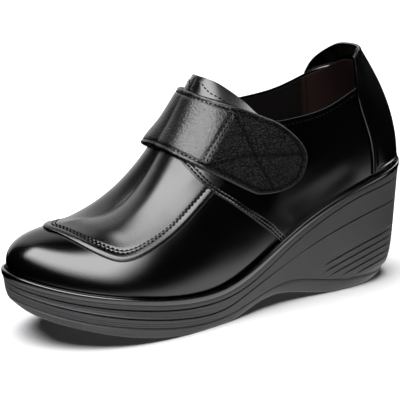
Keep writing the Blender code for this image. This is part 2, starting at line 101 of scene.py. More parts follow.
last = {
    "foot": table(
        "way ledge belly",
        (0.0, 3.0, 0.6),
        (0.3, 2.6, 1.6),
        (0.5, 2.4, 2.0),
        (0.7, 2.6, 2.2),
        (0.9, 2.2, 2.6),
        (1.0, 1.8, 3.0),
    ),
    "bellyFall": 0.4,
    "crown": table(
        "way station height lean full",
        (0.00, 35.0, 145.0, 0.0, 2.0),
        (0.12, 36.5, 145.5, 0.0, 2.0),
        (0.20, 40.5, 146.5, 0.0, 2.0),
        (0.26, 45.0, 144.0, 0.0, 2.0),
        (0.34, 62.6, 126.0, 0.0, 2.0),
        (0.41, 84.7, 117.0, 0.0, 2.0),
        (0.45, 99.6, 121.4, 0.0, 1.9),
        (0.48, 111.3, 132.8, 0.0, 1.85),
        (0.51, 123.1, 139.6, 0.0, 1.8),
        (0.54, 132.4, 129.3, 0.0, 1.8),
        (0.57, 141.3, 115.1, 0.0, 1.8),
        (0.60, 149.7, 101.3, 0.0, 1.8),
        (0.65, 162.7, 82.6, 0.0, 1.9),
        (0.72, 178.1, 67.6, -1.0, 2.1),
        (0.80, 190.3, 62.1, -2.5, 2.3),
        (0.90, 200.3, 61.4, -4.0, 2.5),
        (1.00, 205.3, 61.5, -4.5, 2.5),
    ),
    "crownHalf": table(
        "way width",
        (0.00, 0.0),
        (0.12, 12.5),
        (0.20, 20.5),
        (0.26, 25.0),
        (0.34, 27.8),
        (0.42, 27.5),
        (0.53, 27.0),
    ),
    "crownCloses": (0.42, 0.525),
    "domeBegins": (0.36, 0.53),
    "wallPower": 2.0,
    "topline": table(
        "station outer inner",
        (10.4, 128.0, 128.0),
        (22.4, 126.8, 126.8),
        (41.6, 120.8, 121.3),
        (62.8, 112.1, 114.4),
        (82.9, 109.0, 111.8),
        (95.0, 108.5, 111.3),
        (100.9, 109.5, 112.1),
        (105.8, 113.4, 115.0),
        (110.7, 119.3, 119.9),
        (118.5, 126.6, 126.8),
        (125.3, 131.7, 131.7),
        (131.3, 134.3, 134.3),
    ),
    "apronSeam": table(
        "way up",
        (0.40, 0.360),
        (0.54, 0.367),
        (0.61, 0.345),
        (0.66, 0.320),
        (0.71, 0.320),
        (0.75, 0.413),
        (0.82, 0.603),
        (0.88, 0.713),
        (1.00, 0.785),
    ),
    "quarterEdge": table(
        "up way",
        (0.00, 0.418),
        (0.105, 0.437),
        (0.168, 0.452),
        (0.205, 0.467),
        (0.265, 0.500),
        (0.328, 0.527),
        (0.408, 0.550),
        (0.505, 0.569),
        (0.65, 0.588),
        (1.00, 0.600),
    ),
}


def spline(knots, values):
    # cubic spline through the rows of a table, straight at both ends
    step = np.diff(knots)
    count = len(knots)
    rows = np.eye(count)
    right = np.zeros(count)
    for i in range(1, count - 1):
        rows[i, i - 1:i + 2] = step[i - 1], 2 * (step[i - 1] + step[i]), step[i]
        right[i] = 6 * ((values[i + 1] - values[i]) / step[i] - (values[i] - values[i - 1]) / step[i - 1])
    bend = np.linalg.solve(rows, right)

    def at(x):
        x = np.clip(x, knots[0], knots[-1])
        i = np.clip(np.searchsorted(knots, x) - 1, 0, count - 2)
        p = (x - knots[i]) / step[i]
        q = 1 - p
        curve = (q ** 3 - q) * bend[i] + (p ** 3 - p) * bend[i + 1]
        return q * values[i] + p * values[i + 1] + step[i] ** 2 / 6 * curve

    return at


def column(rows, key, value):
    return spline(rows[key], rows[value])


def mirrored(rows, value, signAtHeel=1):
    # spline over the way that is even (or odd) round the heel and the toe
    way, values = rows["way"], rows[value]
    before = slice(2, 0, -1)
    knots = [-way[before], way]
    shown = [signAtHeel * values[before], values]
    if way[-1] == 1:
        after = slice(-2, -4, -1)
        knots.append(2 - way[after])
        shown.append(values[after])
    return spline(np.concatenate(knots), np.concatenate(shown))


def ease(x, low, high):
    p = np.clip((x - low) / (high - low), 0, 1)
    return p ** 3 * (p * (6 * p - 15) + 10)


def bell(x, centre, width):
    return np.exp(-((x - centre) / width) ** 2)


def unit(vectors):
    return vectors / np.linalg.norm(vectors, axis=-1, keepdims=True)


def rimSpline():
    plan = sole["rimPlan"]
    angle = np.arccos(1 - 2 * plan["station"] / sole["length"])
    lap = 2 * np.pi
    angles = np.concatenate([[0], angle, [np.pi], lap - angle[::-1]])
    sides = np.concatenate([[0], plan["outer"], [sole["toeTipSide"]], -plan["inner"][::-1]])
    return spline(np.concatenate([angles - lap, angles, angles + lap]), np.tile(sides, 3))


rimSide = rimSpline()
rimHeight = column(sole["side"], "station", "rim")
seamHeight = column(sole["side"], "station", "seam")
undercut = mirrored(sole["undercut"], "inset")
undercutPower = mirrored(sole["undercut"], "power")
ledge = mirrored(last["foot"], "ledge")
belly = mirrored(last["foot"], "belly")
crownStation = mirrored(last["crown"], "station")
crownHeight = mirrored(last["crown"], "height")
crownLean = mirrored(last["crown"], "lean")
crownFull = mirrored(last["crown"], "full")
crownHalf = mirrored(last["crownHalf"], "width", signAtHeel=-1)
toplineOuter = column(last["topline"], "station", "outer")
toplineInner = column(last["topline"], "station", "inner")
apronSeam = column(last["apronSeam"], "way", "up")
quarterEdge = column(last["quarterEdge"], "up", "way")


def fold(turn):
    # way and side (+1 outer, -1 inner) of a turn of the outline, 0 to 2 from heel to heel
    turn = np.mod(turn, 2.0)
    return np.where(turn <= 1, turn, 2 - turn), np.where(turn <= 1, 1.0, -1.0)


def planNormal(turn):
    angle = np.pi * np.mod(turn, 2.0)
    nudge = 1e-4
    slope = (rimSide(angle + nudge) - rimSide(angle - nudge)) / (2 * nudge)
    run = sole["length"] / 2 * np.sin(angle)
    size = np.hypot(run, slope)
    return -slope / size, run / size


def rimStation(turn):
    return sole["length"] / 2 * (1 - np.cos(np.pi * np.mod(turn, 2.0)))


def plan(turn, outset=0.0):
    outStation, outSide = planNormal(turn)
    side = rimSide(np.pi * np.mod(turn, 2.0))
    return rimStation(turn) + outset * outStation, side + outset * outSide


def floorHeight(station):
    arch, toe = sole["arch"], sole["toe"]
    ballStart, ballEnd = sole["ballFlat"]
    archRun = np.clip((station - sole["heelFlatEnd"]) / (ballStart - sole["heelFlatEnd"]), 0, 1)
    toeRun = np.clip((station - ballEnd) / (sole["length"] - ballEnd), 0, 1)
    hollow = np.sin(np.pi * archRun ** arch["lean"]) ** arch["power"]
    return arch["rise"] * hollow + toe["rise"] * toeRun ** toe["power"]


def solePoint(turn, height, sunk=0.0):
    way, _ = fold(turn)
    station = rimStation(turn)
    low = floorHeight(station)
    drop = np.clip((rimHeight(station) - height) / (rimHeight(station) - low), 0, 1)
    drawn = sole["straight"] * drop + (1 - sole["straight"]) * drop ** undercutPower(way)
    along, side = plan(turn, -undercut(way) * drawn - sunk)
    return np.stack([along, side, height + 0 * along], -1)


def lastPoint(turn, up):
    way, side = fold(turn)
    up = np.clip(up, 0, 1)
    outStation, outSide = planNormal(turn)
    footStation, footSide = plan(turn, -ledge(way))
    footHeight = rimHeight(footStation) + sole["gap"]
    topSide = crownLean(way) + side * crownHalf(way) * (1 - ease(way, *last["crownCloses"]))
    power = 2 / crownFull(way)
    dome = ease(way, *last["domeBegins"])
    angle = up * np.pi / 2
    inward = dome * (1 - np.cos(angle) ** power) + (1 - dome) * up ** last["wallPower"]
    rise = dome * np.sin(angle) ** power + (1 - dome) * up
    swell = belly(way) * np.sin(np.pi * up) * (1 - last["bellyFall"] * up)
    return np.stack([
        footStation + (crownStation(way) - footStation) * inward + outStation * swell,
        footSide + (topSide - footSide) * inward + outSide * swell,
        footHeight + (crownHeight(way) - footHeight) * rise,
    ], -1)


def lastNormal(turn, up):
    turnStep, upStep = 1e-3, 0.01
    up = np.clip(up, 2 * upStep, 1 - 2 * upStep)
    along = lastPoint(turn + turnStep, up) - lastPoint(turn - turnStep, up)
    upwards = lastPoint(turn, up + upStep) - lastPoint(turn, up - upStep)
    return unit(np.cross(upwards, along))


def perUp(turn, up):
    # millimetres of wall for one unit of up, and for one unit of way below
    step = 0.01
    return np.linalg.norm(lastPoint(turn, up + step) - lastPoint(turn, up - step), axis=-1) / (2 * step)


def perWay(turn, up):
    step = 0.002
    return np.linalg.norm(lastPoint(turn + step, up) - lastPoint(turn - step, up), axis=-1) / (2 * step)


def findThroat():
    ways = np.linspace(*last["crownCloses"], 400) + np.ptp(last["crownCloses"]) / 4
    over = crownHeight(ways) - toplineOuter(crownStation(ways))
    return np.interp(0, -over, ways)


throatWay = findThroat()
tiny = 1e-6


def collarUp(turn):
    # how far up the wall reaches before the topline cuts it
    turn = np.asarray(turn, float)
    ups = np.linspace(0, 1, 301)
    points = lastPoint(turn[..., None] + 0 * ups, ups + 0 * turn[..., None])
    side = fold(turn)[1][..., None]
    cut = np.where(side > 0, toplineOuter(points[..., 0]), toplineInner(points[..., 0]))
    over = points[..., 2] - cut
    crossing = (over[..., :-1] < 0) & (over[..., 1:] >= 0)
    first = crossing.argmax(-1)
    below = np.take_along_axis(over, first[..., None], -1)[..., 0]
    above = np.take_along_axis(over, first[..., None] + 1, -1)[..., 0]
    at = ups[first] + (ups[1] - ups[0]) * below / (below - above)
    return np.where(crossing.any(-1) & (fold(turn)[0] < throatWay - tiny), at, 1.0)


def toTurn(way, side):
    return way if side > 0 else 2 - way


def distanceTo(points, path):
    # distance of each point to the nearest point of a dense path
    tree = KDTree(len(path))
    for index, place in enumerate(path):
        tree.insert(place, index)
    tree.balance()
    flat = points.reshape(-1, 3)
    return np.array([tree.find(p)[2] for p in flat]).reshape(points.shape[:-1])


def densePath(turn, up, spacing=0.15):
    # points every fraction of a millimetre along a line on the last
    steps = np.linspace(0, 1, len(turn))
    rough = lastPoint(turn, up)
    length = np.linalg.norm(np.diff(rough, axis=0), axis=1).sum()
    fine = np.linspace(0, 1, int(length / spacing) + 2)
    return lastPoint(np.interp(fine, steps, turn), np.interp(fine, steps, up))


def finer(path, count):
    # a path of points with more points between them
    at = np.linspace(0, len(path) - 1, count)
    return np.stack([np.interp(at, np.arange(len(path)), path[:, k]) for k in range(3)], -1)


def borderOf(grid, count):
    # dense path round the edge of a grid of points
    return finer(np.concatenate([grid[:, 0], grid[-1], grid[::-1, -1], grid[0, ::-1]]), count)


def bandSheets(inside, outside):
    # both faces of a band and its four edges; also a mark on them
    edges = [np.stack([inside[i], outside[i]]) for i in (0, -1)]
    edges += [np.stack([inside[:, j], outside[:, j]]) for j in (0, -1)]
    return [inside, outside] + edges


def inMetres(points):
    # from the shoe's millimetres to metres about the middle of its length
    return (points - np.array([sole["length"] / 2, 0, 0])) * mm


# Meshes from sheets of points
weldReach = 0.003           # millimetres


def addObject(name, data):
    made = bpy.data.objects.new(name, data)
    bpy.context.scene.collection.objects.link(made)
    return made


def meshFrom(name, bm):
    mesh = bpy.data.meshes.new(name)
    bm.to_mesh(mesh)
    bm.free()
    return mesh


def weld(name, sheets, marks=None, sharpAngle=40.0):
    # one closed mesh from sheets that share their edges, with marks as point attributes
    points, faces, start = [], [], 0
    for sheet in sheets:
        rows, columns = sheet.shape[:2]
        index = start + np.arange(rows * columns).reshape(rows, columns)
        quads = np.stack([index[:-1, :-1], index[:-1, 1:], index[1:, 1:], index[1:, :-1]], -1)
        points.append(sheet.reshape(-1, 3))
        faces.append(quads.reshape(-1, 4))
        start += rows * columns
    mesh = bpy.data.meshes.new(name)
    mesh.from_pydata(inMetres(np.concatenate(points)).tolist(), [], np.concatenate(faces).tolist())
    for mark, values in (marks or {}).items():
        layer = mesh.attributes.new(mark, "FLOAT", "POINT")
        layer.data.foreach_set("value", np.concatenate([v.ravel() for v in values]).astype(np.float32))
    bm = bmesh.new()
    bm.from_mesh(mesh)
    bmesh.ops.remove_doubles(bm, verts=bm.verts, dist=weldReach * mm)
    bmesh.ops.recalc_face_normals(bm, faces=bm.faces)
    bm.to_mesh(mesh)
    bm.free()
    mesh.shade_smooth()
    mesh.set_sharp_from_angle(angle=np.radians(sharpAngle))
    return mesh


def place(name, mesh, finish, slot, node=None):
    made = addObject(name, mesh)
    if finish:
        mesh.materials.append(finish)
    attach(made, "root")
    if node:
        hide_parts(node)
    print(f"{name}: {len(mesh.vertices)} points, {len(mesh.polygons)} faces")
    return made


def cosine(count):
    return 0.5 - 0.5 * np.cos(np.linspace(0, np.pi, count + 1))


uprightShare = 0.35         # of a cut leather edge, before its corner rounds over


def cutEdge(distance, radius):
    corner = np.sqrt(1 - (1 - np.clip(distance / radius, 0, 1)) ** 2)
    return uprightShare + (1 - uprightShare) * corner


def resample(grid, rows, columns):
    # bilinear look-up in a grid of points by fractional row and column
    i = np.clip(np.floor(rows).astype(int), 0, grid.shape[0] - 2)
    j = np.clip(np.floor(columns).astype(int), 0, grid.shape[1] - 2)
    p, q = (rows - i)[..., None], (columns - j)[..., None]
    low = grid[i, j] * (1 - q) + grid[i, j + 1] * q
    high = grid[i + 1, j] * (1 - q) + grid[i + 1, j + 1] * q
    return low * (1 - p) + high * p


# Finishes: a wire is a socket that takes part in sums
class Wire:
    def __init__(self, tree, socket=None):
        self.tree = tree
        self.socket = socket

    def make(self, kind, settings=None, sockets=None, out=0):
        node = self.tree.nodes.new(kind)
        for name, value in (settings or {}).items():
            setattr(node, name, value)
        for name, value in (sockets or {}).items():
            if isinstance(value, Wire):
                self.tree.links.new(value.socket, node.inputs[name])
            else:
                node.inputs[name].default_value = value
        return Wire(self.tree, node.outputs[out])

    def maths(self, operation, *values):
        return self.make("ShaderNodeMath", {"operation": operation}, dict(enumerate(values)))

    def __add__(self, other):
        return self.maths("ADD", self, other)

    def __sub__(self, other):
        return self.maths("SUBTRACT", self, other)

    def __rsub__(self, other):
        return self.maths("SUBTRACT", other, self)

    def __mul__(self, other):
        return self.maths("MULTIPLY", self, other)

    __radd__ = __add__
    __rmul__ = __mul__

    def between(self, low, high):
        sockets = {"Value": self, "From Min": low, "From Max": high}
        return self.make("ShaderNodeMapRange", {"interpolation_type": "SMOOTHSTEP"}, sockets)

    def noise(self, scale, detail=2.0, stretch=None):
        where = self
        if stretch:
            where = self.make("ShaderNodeMapping", {}, {"Vector": self, "Scale": stretch})
        return self.make("ShaderNodeTexNoise", {}, {"Vector": where, "Scale": scale, "Detail": detail})

    def cells(self, scale):
        return self.make("ShaderNodeTexVoronoi", {}, {"Vector": self, "Scale": scale})

    def vectors(self, operation, other=None, out=0):
        sockets = {0: self} if other is None else {0: self, 1: other}
        return self.make("ShaderNodeVectorMath", {"operation": operation}, sockets, out)

    def mark(self, name):
        # a point attribute of the mesh
        return self.make("ShaderNodeAttribute", {"attribute_name": name}, out="Fac")

    def blendColours(self, first, second):
        # second where this wire is 1, first where it is 0
        return self.make("ShaderNodeMix", {"data_type": "RGBA"}, {0: self, 6: first, 7: second}, out=2)


def startFinish(name, constants):
    # a material with its constant sockets set, its shader, and a wire of object coordinates
    made = bpy.data.materials.new(name)
    made.use_nodes = True
    shader = made.node_tree.nodes["Principled BSDF"]
    for socket, value in constants.items():
        shader.inputs[socket].default_value = value
    where = Wire(made.node_tree).make("ShaderNodeTexCoord", out="Object")
    return made, shader, where


def feed(shader, socket, wire):
    wire.tree.links.new(wire.socket, shader.inputs[socket])


def bump(height, strength, distance, under=None):
    sockets = {"Height": height, "Strength": strength, "Distance": distance}
    if under:
        sockets["Normal"] = under
    return height.make("ShaderNodeBump", {}, sockets)


def polishedLeather(name, look):
    made, shader, where = startFinish(name, {
        "Specular IOR Level": look["specular"],
        "Coat Weight": look["coat"],
        "Coat Roughness": look["coatRoughness"],
    })
    cloud = where.noise(look["cloudScale"], 3.0)
    grain = where.cells(look["grainScale"])
    pores = where.noise(look["poreScale"], 2.0)
    apron = where.mark("apron")
    feed(shader, "Base Color", cloud.between(*look["cloudFades"]).blendColours(look["dark"], look["light"]))
    rough = cloud * look["roughSpread"] + pores * look["roughPores"] + look["rough"]
    feed(shader, "Roughness", apron * look["apronRough"] + rough)
    coarse = apron * look["apronGrain"] + 1
    relief = bump((grain + pores) * coarse, look["grainStrength"], look["grainDepth"])
    feed(shader, "Normal", bump(cloud, look["waveStrength"], look["waveDepth"], relief))
    return made


blackLeather = {
    "dark": (0.0001, 0.0001, 0.0001, 1),
    "light": (0.0003, 0.0003, 0.0003, 1),
    "specular": 0.5,
    "coat": 0.15,
    "coatRoughness": 0.16,
    "rough": 0.12,
    "apronRough": 0.1,
    "apronGrain": 1.5,
    "roughSpread": 0.05,
    "roughPores": 0.04,
    "cloudScale": 55.0,
    "cloudFades": (0.35, 0.7),
    "grainScale": 1100.0,
    "poreScale": 2200.0,
    "grainStrength": 0.10,
    "grainDepth": 0.00012,
    "waveStrength": 0.06,
    "waveDepth": 0.0005,
}


weltLook = dict(blackLeather, rough=0.16, coat=0.5, coatRoughness=0.1, grainStrength=0.04)


def upperLeather():
    return polishedLeather("polishedBlackLeather", blackLeather)


def weltLeather():
    return polishedLeather("glossyWelt", weltLook)


strapLook = {
    "specular": 0.5,
    "tabSpecular": 0.06,
    "coat": 0.1,
    "coatRoughness": 0.2,
    "smooth": (0.0003, 0.0003, 0.0003, 1),
    "tabDark": (0.0012, 0.0012, 0.0013, 1),
    "tabLight": (0.020, 0.020, 0.0205, 1),
    "rawEdge": (0.05, 0.05, 0.051, 1),
    "smoothRough": 0.25,
    "tabRough": 0.42,
    "crinkleScale": 900.0,
    "crinkleStretch": (1.0, 0.6, 1.6),
    "crinkleRough": 0.08,
    "crinkleStrength": 0.5,
    "crinkleDepth": 0.0008,
    "pebbleScale": 850.0,
    "pebbleFades": (0.1, 0.5),
    "pebbleStrength": 0.8,
    "pebbleDepth": 0.0009,
    "fleckScale": 510.0,
    "fleckShare": 0.5,
    "seamShadeFades": (0.03, 0.4),  # painted shade: the tab's leather darkened along its sewn grooves
}


def strapLeather():
    look = strapLook
    made, smooth, where = startFinish("strapLeather", {
        "Specular IOR Level": look["specular"],
        "Coat Weight": look["coat"],
        "Coat Roughness": look["coatRoughness"],
        "Base Color": look["smooth"],
    })
    crinkle = where.noise(look["crinkleScale"], 3.0, look["crinkleStretch"])
    feed(smooth, "Roughness", crinkle * look["crinkleRough"] + look["smoothRough"])
    feed(smooth, "Normal", bump(crinkle, look["crinkleStrength"], look["crinkleDepth"]))
    raw = where.mark("rawEdge")
    pebble = where.cells(look["pebbleScale"])
    fleck = where.noise(look["fleckScale"])
    grain = 1 - pebble.between(*look["pebbleFades"])
    leather = raw.blendColours(grain.blendColours(look["tabDark"], look["tabLight"]), look["rawEdge"])
    # painted shade: the tab's colour turns as dark as the smooth leather in its stitch grooves
    seamShade = where.mark("seamShade").between(*look["seamShadeFades"])
    tab = where.make("ShaderNodeBsdfPrincipled", {}, {
        "Specular IOR Level": look["tabSpecular"],
        "Base Color": seamShade.blendColours(leather, look["smooth"]),
        "Roughness": look["tabRough"],
        "Normal": bump(fleck * look["fleckShare"] - pebble, look["pebbleStrength"], look["pebbleDepth"]),
    })
    pebbled = where.mark("pebbled")
    front = Wire(made.node_tree, smooth.outputs[0])
    both = where.make("ShaderNodeMixShader", {}, {0: pebbled, 1: front, 2: tab})
    feed(made.node_tree.nodes["Material Output"], "Surface", both)
    return made


soleLook = {
    "dark": (0.0235, 0.0235, 0.025, 1),
    "light": (0.032, 0.032, 0.0337, 1),
    # painted shade: near-black colour laid into the deep lines and ribs of the wedge's wall
    "groove": (0.0015, 0.0015, 0.0016, 1),
    "grooveShadeFades": (0.05, 0.6),
    "specular": 0.35,
    "rough": 0.5,
    "spread": 0.14,
    "stippleScale": 1500.0,
    "stippleStrength": 0.18,
    "stippleDepth": 0.0003,
    "cloudScale": 38.0,
    "cloudFades": (0.3, 0.75),
}


def mouldedSole(name, look):
    made, shader, where = startFinish(name, {"Specular IOR Level": look["specular"]})
    cloud = where.noise(look["cloudScale"], 3.0)
    stipple = where.noise(look["stippleScale"])
    groove = where.mark("groove")
    face = cloud.between(*look["cloudFades"]).blendColours(look["dark"], look["light"])
    # painted shade: the wall's colour darkens towards the bottom of its lines and ribs
    feed(shader, "Base Color", groove.between(*look["grooveShadeFades"]).blendColours(face, look["groove"]))
    feed(shader, "Roughness", cloud * look["spread"] + look["rough"])
    feed(shader, "Normal", bump(stipple, look["stippleStrength"], look["stippleDepth"]))
    return made


liningLook = {
    "heel": (0.0215, 0.0118, 0.0114, 1),
    "front": (0.0014, 0.0010, 0.0009, 1),
    "specular": 0.06,
    "rough": 0.6,
    "poreRough": 0.15,
    "poreScale": 1300.0,
    "poreStrength": 0.2,
    "poreDepth": 0.0002,
}
insoleLook = {
    "dark": (0.020, 0.012, 0.010, 1),
    "light": (0.034, 0.020, 0.017, 1),
    "specular": 0.3,
    "rough": 0.62,
    "poreRough": 0.12,
    "cloudScale": 45.0,
    "poreScale": 1000.0,
    "poreStrength": 0.25,
    "poreDepth": 0.0002,
}
threadLook = {
    "dark": (0.0003, 0.0003, 0.0003, 1),
    "light": (0.0008, 0.0008, 0.0008, 1),
    "specular": 0.05,
    "rough": 0.5,
    "twistRough": 0.2,
    "twistScale": 3500.0,
}


def brownLining():
    look = liningLook
    made, shader, where = startFinish("brownLining", {"Specular IOR Level": look["specular"]})
    heel = where.mark("heelPiece")
    pores = where.cells(look["poreScale"])
    feed(shader, "Base Color", heel.blendColours(look["front"], look["heel"]))
    feed(shader, "Roughness", pores * look["poreRough"] + look["rough"])
    feed(shader, "Normal", bump(pores, look["poreStrength"], look["poreDepth"]))
    return made


def insoleLeather():
    look = insoleLook
    made, shader, where = startFinish("insoleLeather", {"Specular IOR Level": look["specular"]})
    cloud = where.noise(look["cloudScale"], 3.0)
    pores = where.cells(look["poreScale"])
    feed(shader, "Base Color", cloud.blendColours(look["dark"], look["light"]))
    feed(shader, "Roughness", pores * look["poreRough"] + look["rough"])
    feed(shader, "Normal", bump(pores, look["poreStrength"], look["poreDepth"]))
    return made


def sewingThread():
    look = threadLook
    made, shader, where = startFinish("sewingThread", {"Specular IOR Level": look["specular"]})
    twist = where.noise(look["twistScale"], 1.0)
    feed(shader, "Base Color", twist.blendColours(look["dark"], look["light"]))
    feed(shader, "Roughness", twist * look["twistRough"] + look["rough"])
    return made


# Stitches: one tree of Geometry Nodes puts a stitch along every sewn line
stitches = {
    "pitch": 2.5,           # from one stitch to the next
    "length": 1.8,
    "radius": 0.4,
    "sides": 6,
    "rings": 5,
    "proud": 0.1,           # height of a stitch's middle above the leather
}
sewnLines = []


def sew(points, normals):
    sewnLines.append(points + normals * stitches["proud"])


def stitchTree():
    tree = bpy.data.node_groups.new("sewnStitches", "GeometryNodeTree")
    tree.interface.new_socket("Geometry", in_out="INPUT", socket_type="NodeSocketGeometry")
    for name in ("Pitch", "Length", "Radius"):
        tree.interface.new_socket(name, in_out="INPUT", socket_type="NodeSocketFloat")
    tree.interface.new_socket("Thread", in_out="INPUT", socket_type="NodeSocketMaterial")
    tree.interface.new_socket("Geometry", in_out="OUTPUT", socket_type="NodeSocketGeometry")

    def add(kind, settings=None, **links):
        node = tree.nodes.new(kind)
        for name, value in (settings or {}).items():
            setattr(node, name, value)
        for name, socket in links.items():
            tree.links.new(socket, node.inputs[name.replace("_", " ")])
        return node

    given = add("NodeGroupInput").outputs
    curve = add("GeometryNodeMeshToCurve", Mesh=given["Geometry"])
    points = add("GeometryNodeCurveToPoints", {"mode": "LENGTH"},
                 Curve=curve.outputs[0], Length=given["Pitch"])
    turn = add("FunctionNodeAlignRotationToVector", {"axis": "X"}, Vector=points.outputs["Tangent"])
    ball = add("GeometryNodeMeshUVSphere")
    ball.inputs["Segments"].default_value = stitches["sides"]
    ball.inputs["Rings"].default_value = stitches["rings"]
    ball.inputs["Radius"].default_value = 1.0
    half = add("ShaderNodeMath", {"operation": "MULTIPLY"})
    tree.links.new(given["Length"], half.inputs[0])
    half.inputs[1].default_value = 0.5
    size = add("ShaderNodeCombineXYZ", X=half.outputs[0], Y=given["Radius"], Z=given["Radius"])
    rows = add("GeometryNodeInstanceOnPoints", Points=points.outputs["Points"],
               Instance=ball.outputs["Mesh"], Rotation=turn.outputs[0], Scale=size.outputs[0])
    real = add("GeometryNodeRealizeInstances", Geometry=rows.outputs[0])
    smooth = add("GeometryNodeSetShadeSmooth", Geometry=real.outputs[0])
    finish = add("GeometryNodeSetMaterial", Geometry=smooth.outputs[0], Material=given["Thread"])
    add("NodeGroupOutput", Geometry=finish.outputs[0])
    return tree


def makeStitches():
    points, edges = [], []
    for line in sewnLines:
        first = len(points)
        points += inMetres(line).tolist()
        edges += [(first + i, first + i + 1) for i in range(len(line) - 1)]
    guide = bpy.data.meshes.new("sewnLines")
    guide.from_pydata(points, edges, [])
    lines = addObject("sewnLines", guide)
    tree = stitchTree()
    modifier = lines.modifiers.new("stitches", "NODES")
    modifier.node_group = tree
    values = {
        "Pitch": stitches["pitch"] * mm,
        "Length": stitches["length"] * mm,
        "Radius": stitches["radius"] * mm,
        "Thread": sewingThread(),
    }
    for item in tree.interface.items_tree:
        if item.in_out == "INPUT" and item.name in values:
            modifier[item.identifier] = values[item.name]
    evaluated = lines.evaluated_get(bpy.context.evaluated_depsgraph_get())
    mesh = bpy.data.meshes.new_from_object(evaluated)
    lines.modifiers.remove(modifier)
    bpy.data.objects.remove(lines)
    mesh.name = "stitches"
    place("stitches", mesh, None, "upper_leather")


# Upper: lasted leather, with its panels, rolled seams and creases
upper = {
    "inside": 1.0,           # leather below the last's own surface; the lining is under it
    "raised": 0.5,           # quarter and apron
    "sunk": -0.6,            # toe panel
    "edgeRadius": 0.45,
    "rollHeight": 0.55,      # rolled edge of the apron
    "rollAt": 2.2,
    "rollWide": 1.7,
    "apronStitches": (4.7, 6.1),
    "quarterStitches": (1.5, 3.3),
    "stitchDip": 0.26,
    "stitchDipWide": 0.45,
    "lapRise": 0.4,          # the quarter's front edge over the apron, dying away behind
    "lapFade": 9.0,
    "valleyAt": 11.0,        # soft hollow of the apron along its seam
    "valleyWide": 4.5,
    "valleyDepth": 0.35,
    "rimBulge": 0.5,
    "collarStitch": 2.6,     # below the edge
    "collarSewn": (0.26, 0.43),
    "tongueStitch": 9.0,
    "tongueSewnFrom": 0.44,
    "tongueSewnOver": (-0.014, 0.026),  # ways about the throat where the row runs up to the ridge
    "tongueStitchSunk": 0.1,
    "tongue": (0.42, 0.46),  # way over which the collar becomes the tongue
    "offsets": (0.0, 0.1, 0.22, 0.45, 0.8, 1.15, 1.5, 1.85, 2.2, 2.6, 3.0,
                3.4, 3.8, 4.2, 4.45, 4.7, 4.95, 5.2, 5.6, 5.85, 6.1, 6.35, 6.6, 7.2),
    "step": 0.05,
    "vampCrowding": 1.15,
    "toeCrowding": 0.9,
    "throatLean": 0.3,
    "gridRounds": 10,
    "toeRows": 24,
    "apronRows": 34,
    "heelColumns": 64,
    "instepColumns": 16,
    "vampColumns": 90,
    "insideRows": 14,
}
creaseLip = {"share": 0.5, "at": 1.8}  # ridge beside a crease: of its depth, and in its widths
creases = table(
    "side way0 up0 way1 up1 wide depth",
    (1, 0.600, 0.60, 0.640, 0.94, 2.6, 0.03),
    (1, 0.622, 0.50, 0.672, 0.86, 3.4, 0.04),
    (1, 0.470, 0.30, 0.520, 0.20, 4.0, 0.12),
    (1, 0.300, 0.18, 0.400, 0.16, 5.0, 0.12),
    (1, 0.345, 0.62, 0.420, 0.55, 4.0, 0.10),
    (-1, 0.600, 0.55, 0.645, 0.92, 2.8, 0.03),
    (-1, 0.630, 0.48, 0.680, 0.84, 3.2, 0.04),
    (-1, 0.470, 0.30, 0.530, 0.20, 4.0, 0.12),
    (-1, 0.330, 0.60, 0.430, 0.52, 4.0, 0.10),
)


def forwardOn(turn, up, side):
    step = 0.002 * side
    return unit(lastPoint(turn + step, up) - lastPoint(turn - step, up))


def seamLine(side, wayStart, wayEnd, inset=0.0):
    # turns and ups along the apron's seam, moved in from it by some millimetres
    way = np.linspace(wayStart, wayEnd, 260)
    up = apronSeam(way)
    turn = toTurn(way, side)
    if inset:
        point = lastPoint(turn, up)
        along = unit(np.gradient(point, axis=0))
        upwards = unit(lastPoint(turn, up + 0.01) - lastPoint(turn, up - 0.01))
        forwards = forwardOn(turn, up, side)
        across = unit(upwards - (upwards * along).sum(-1, keepdims=True) * along)
        slant = (forwards * across).sum(-1)
        rise = np.maximum((upwards * across).sum(-1), 0.2)
        size = rise + slant ** 2 / rise
        up = up + inset / size / perUp(turn, up)
        way = way + inset * slant / size / rise / perWay(turn, up)
    return toTurn(way, side), up


def quarterLine(side, inset=0.0):
    up = np.linspace(0.0, 0.985, 200)
    way = quarterEdge(up)
    turn = toTurn(way, side)
    slope = np.gradient(lastPoint(turn, up), axis=0)
    forwards = forwardOn(turn, up, side)
    lean = np.abs((unit(slope) * forwards).sum(-1))
    reach = inset / np.sqrt(1 - np.clip(lean, 0, 0.95) ** 2)
    return toTurn(way - reach / perWay(turn, up), side), up


def junctionWay():
    # way at which the apron's seam meets the quarter's front edge
    ways = np.linspace(0.45, 0.62, 400)
    return np.interp(0, ways - quarterEdge(apronSeam(ways)), ways)


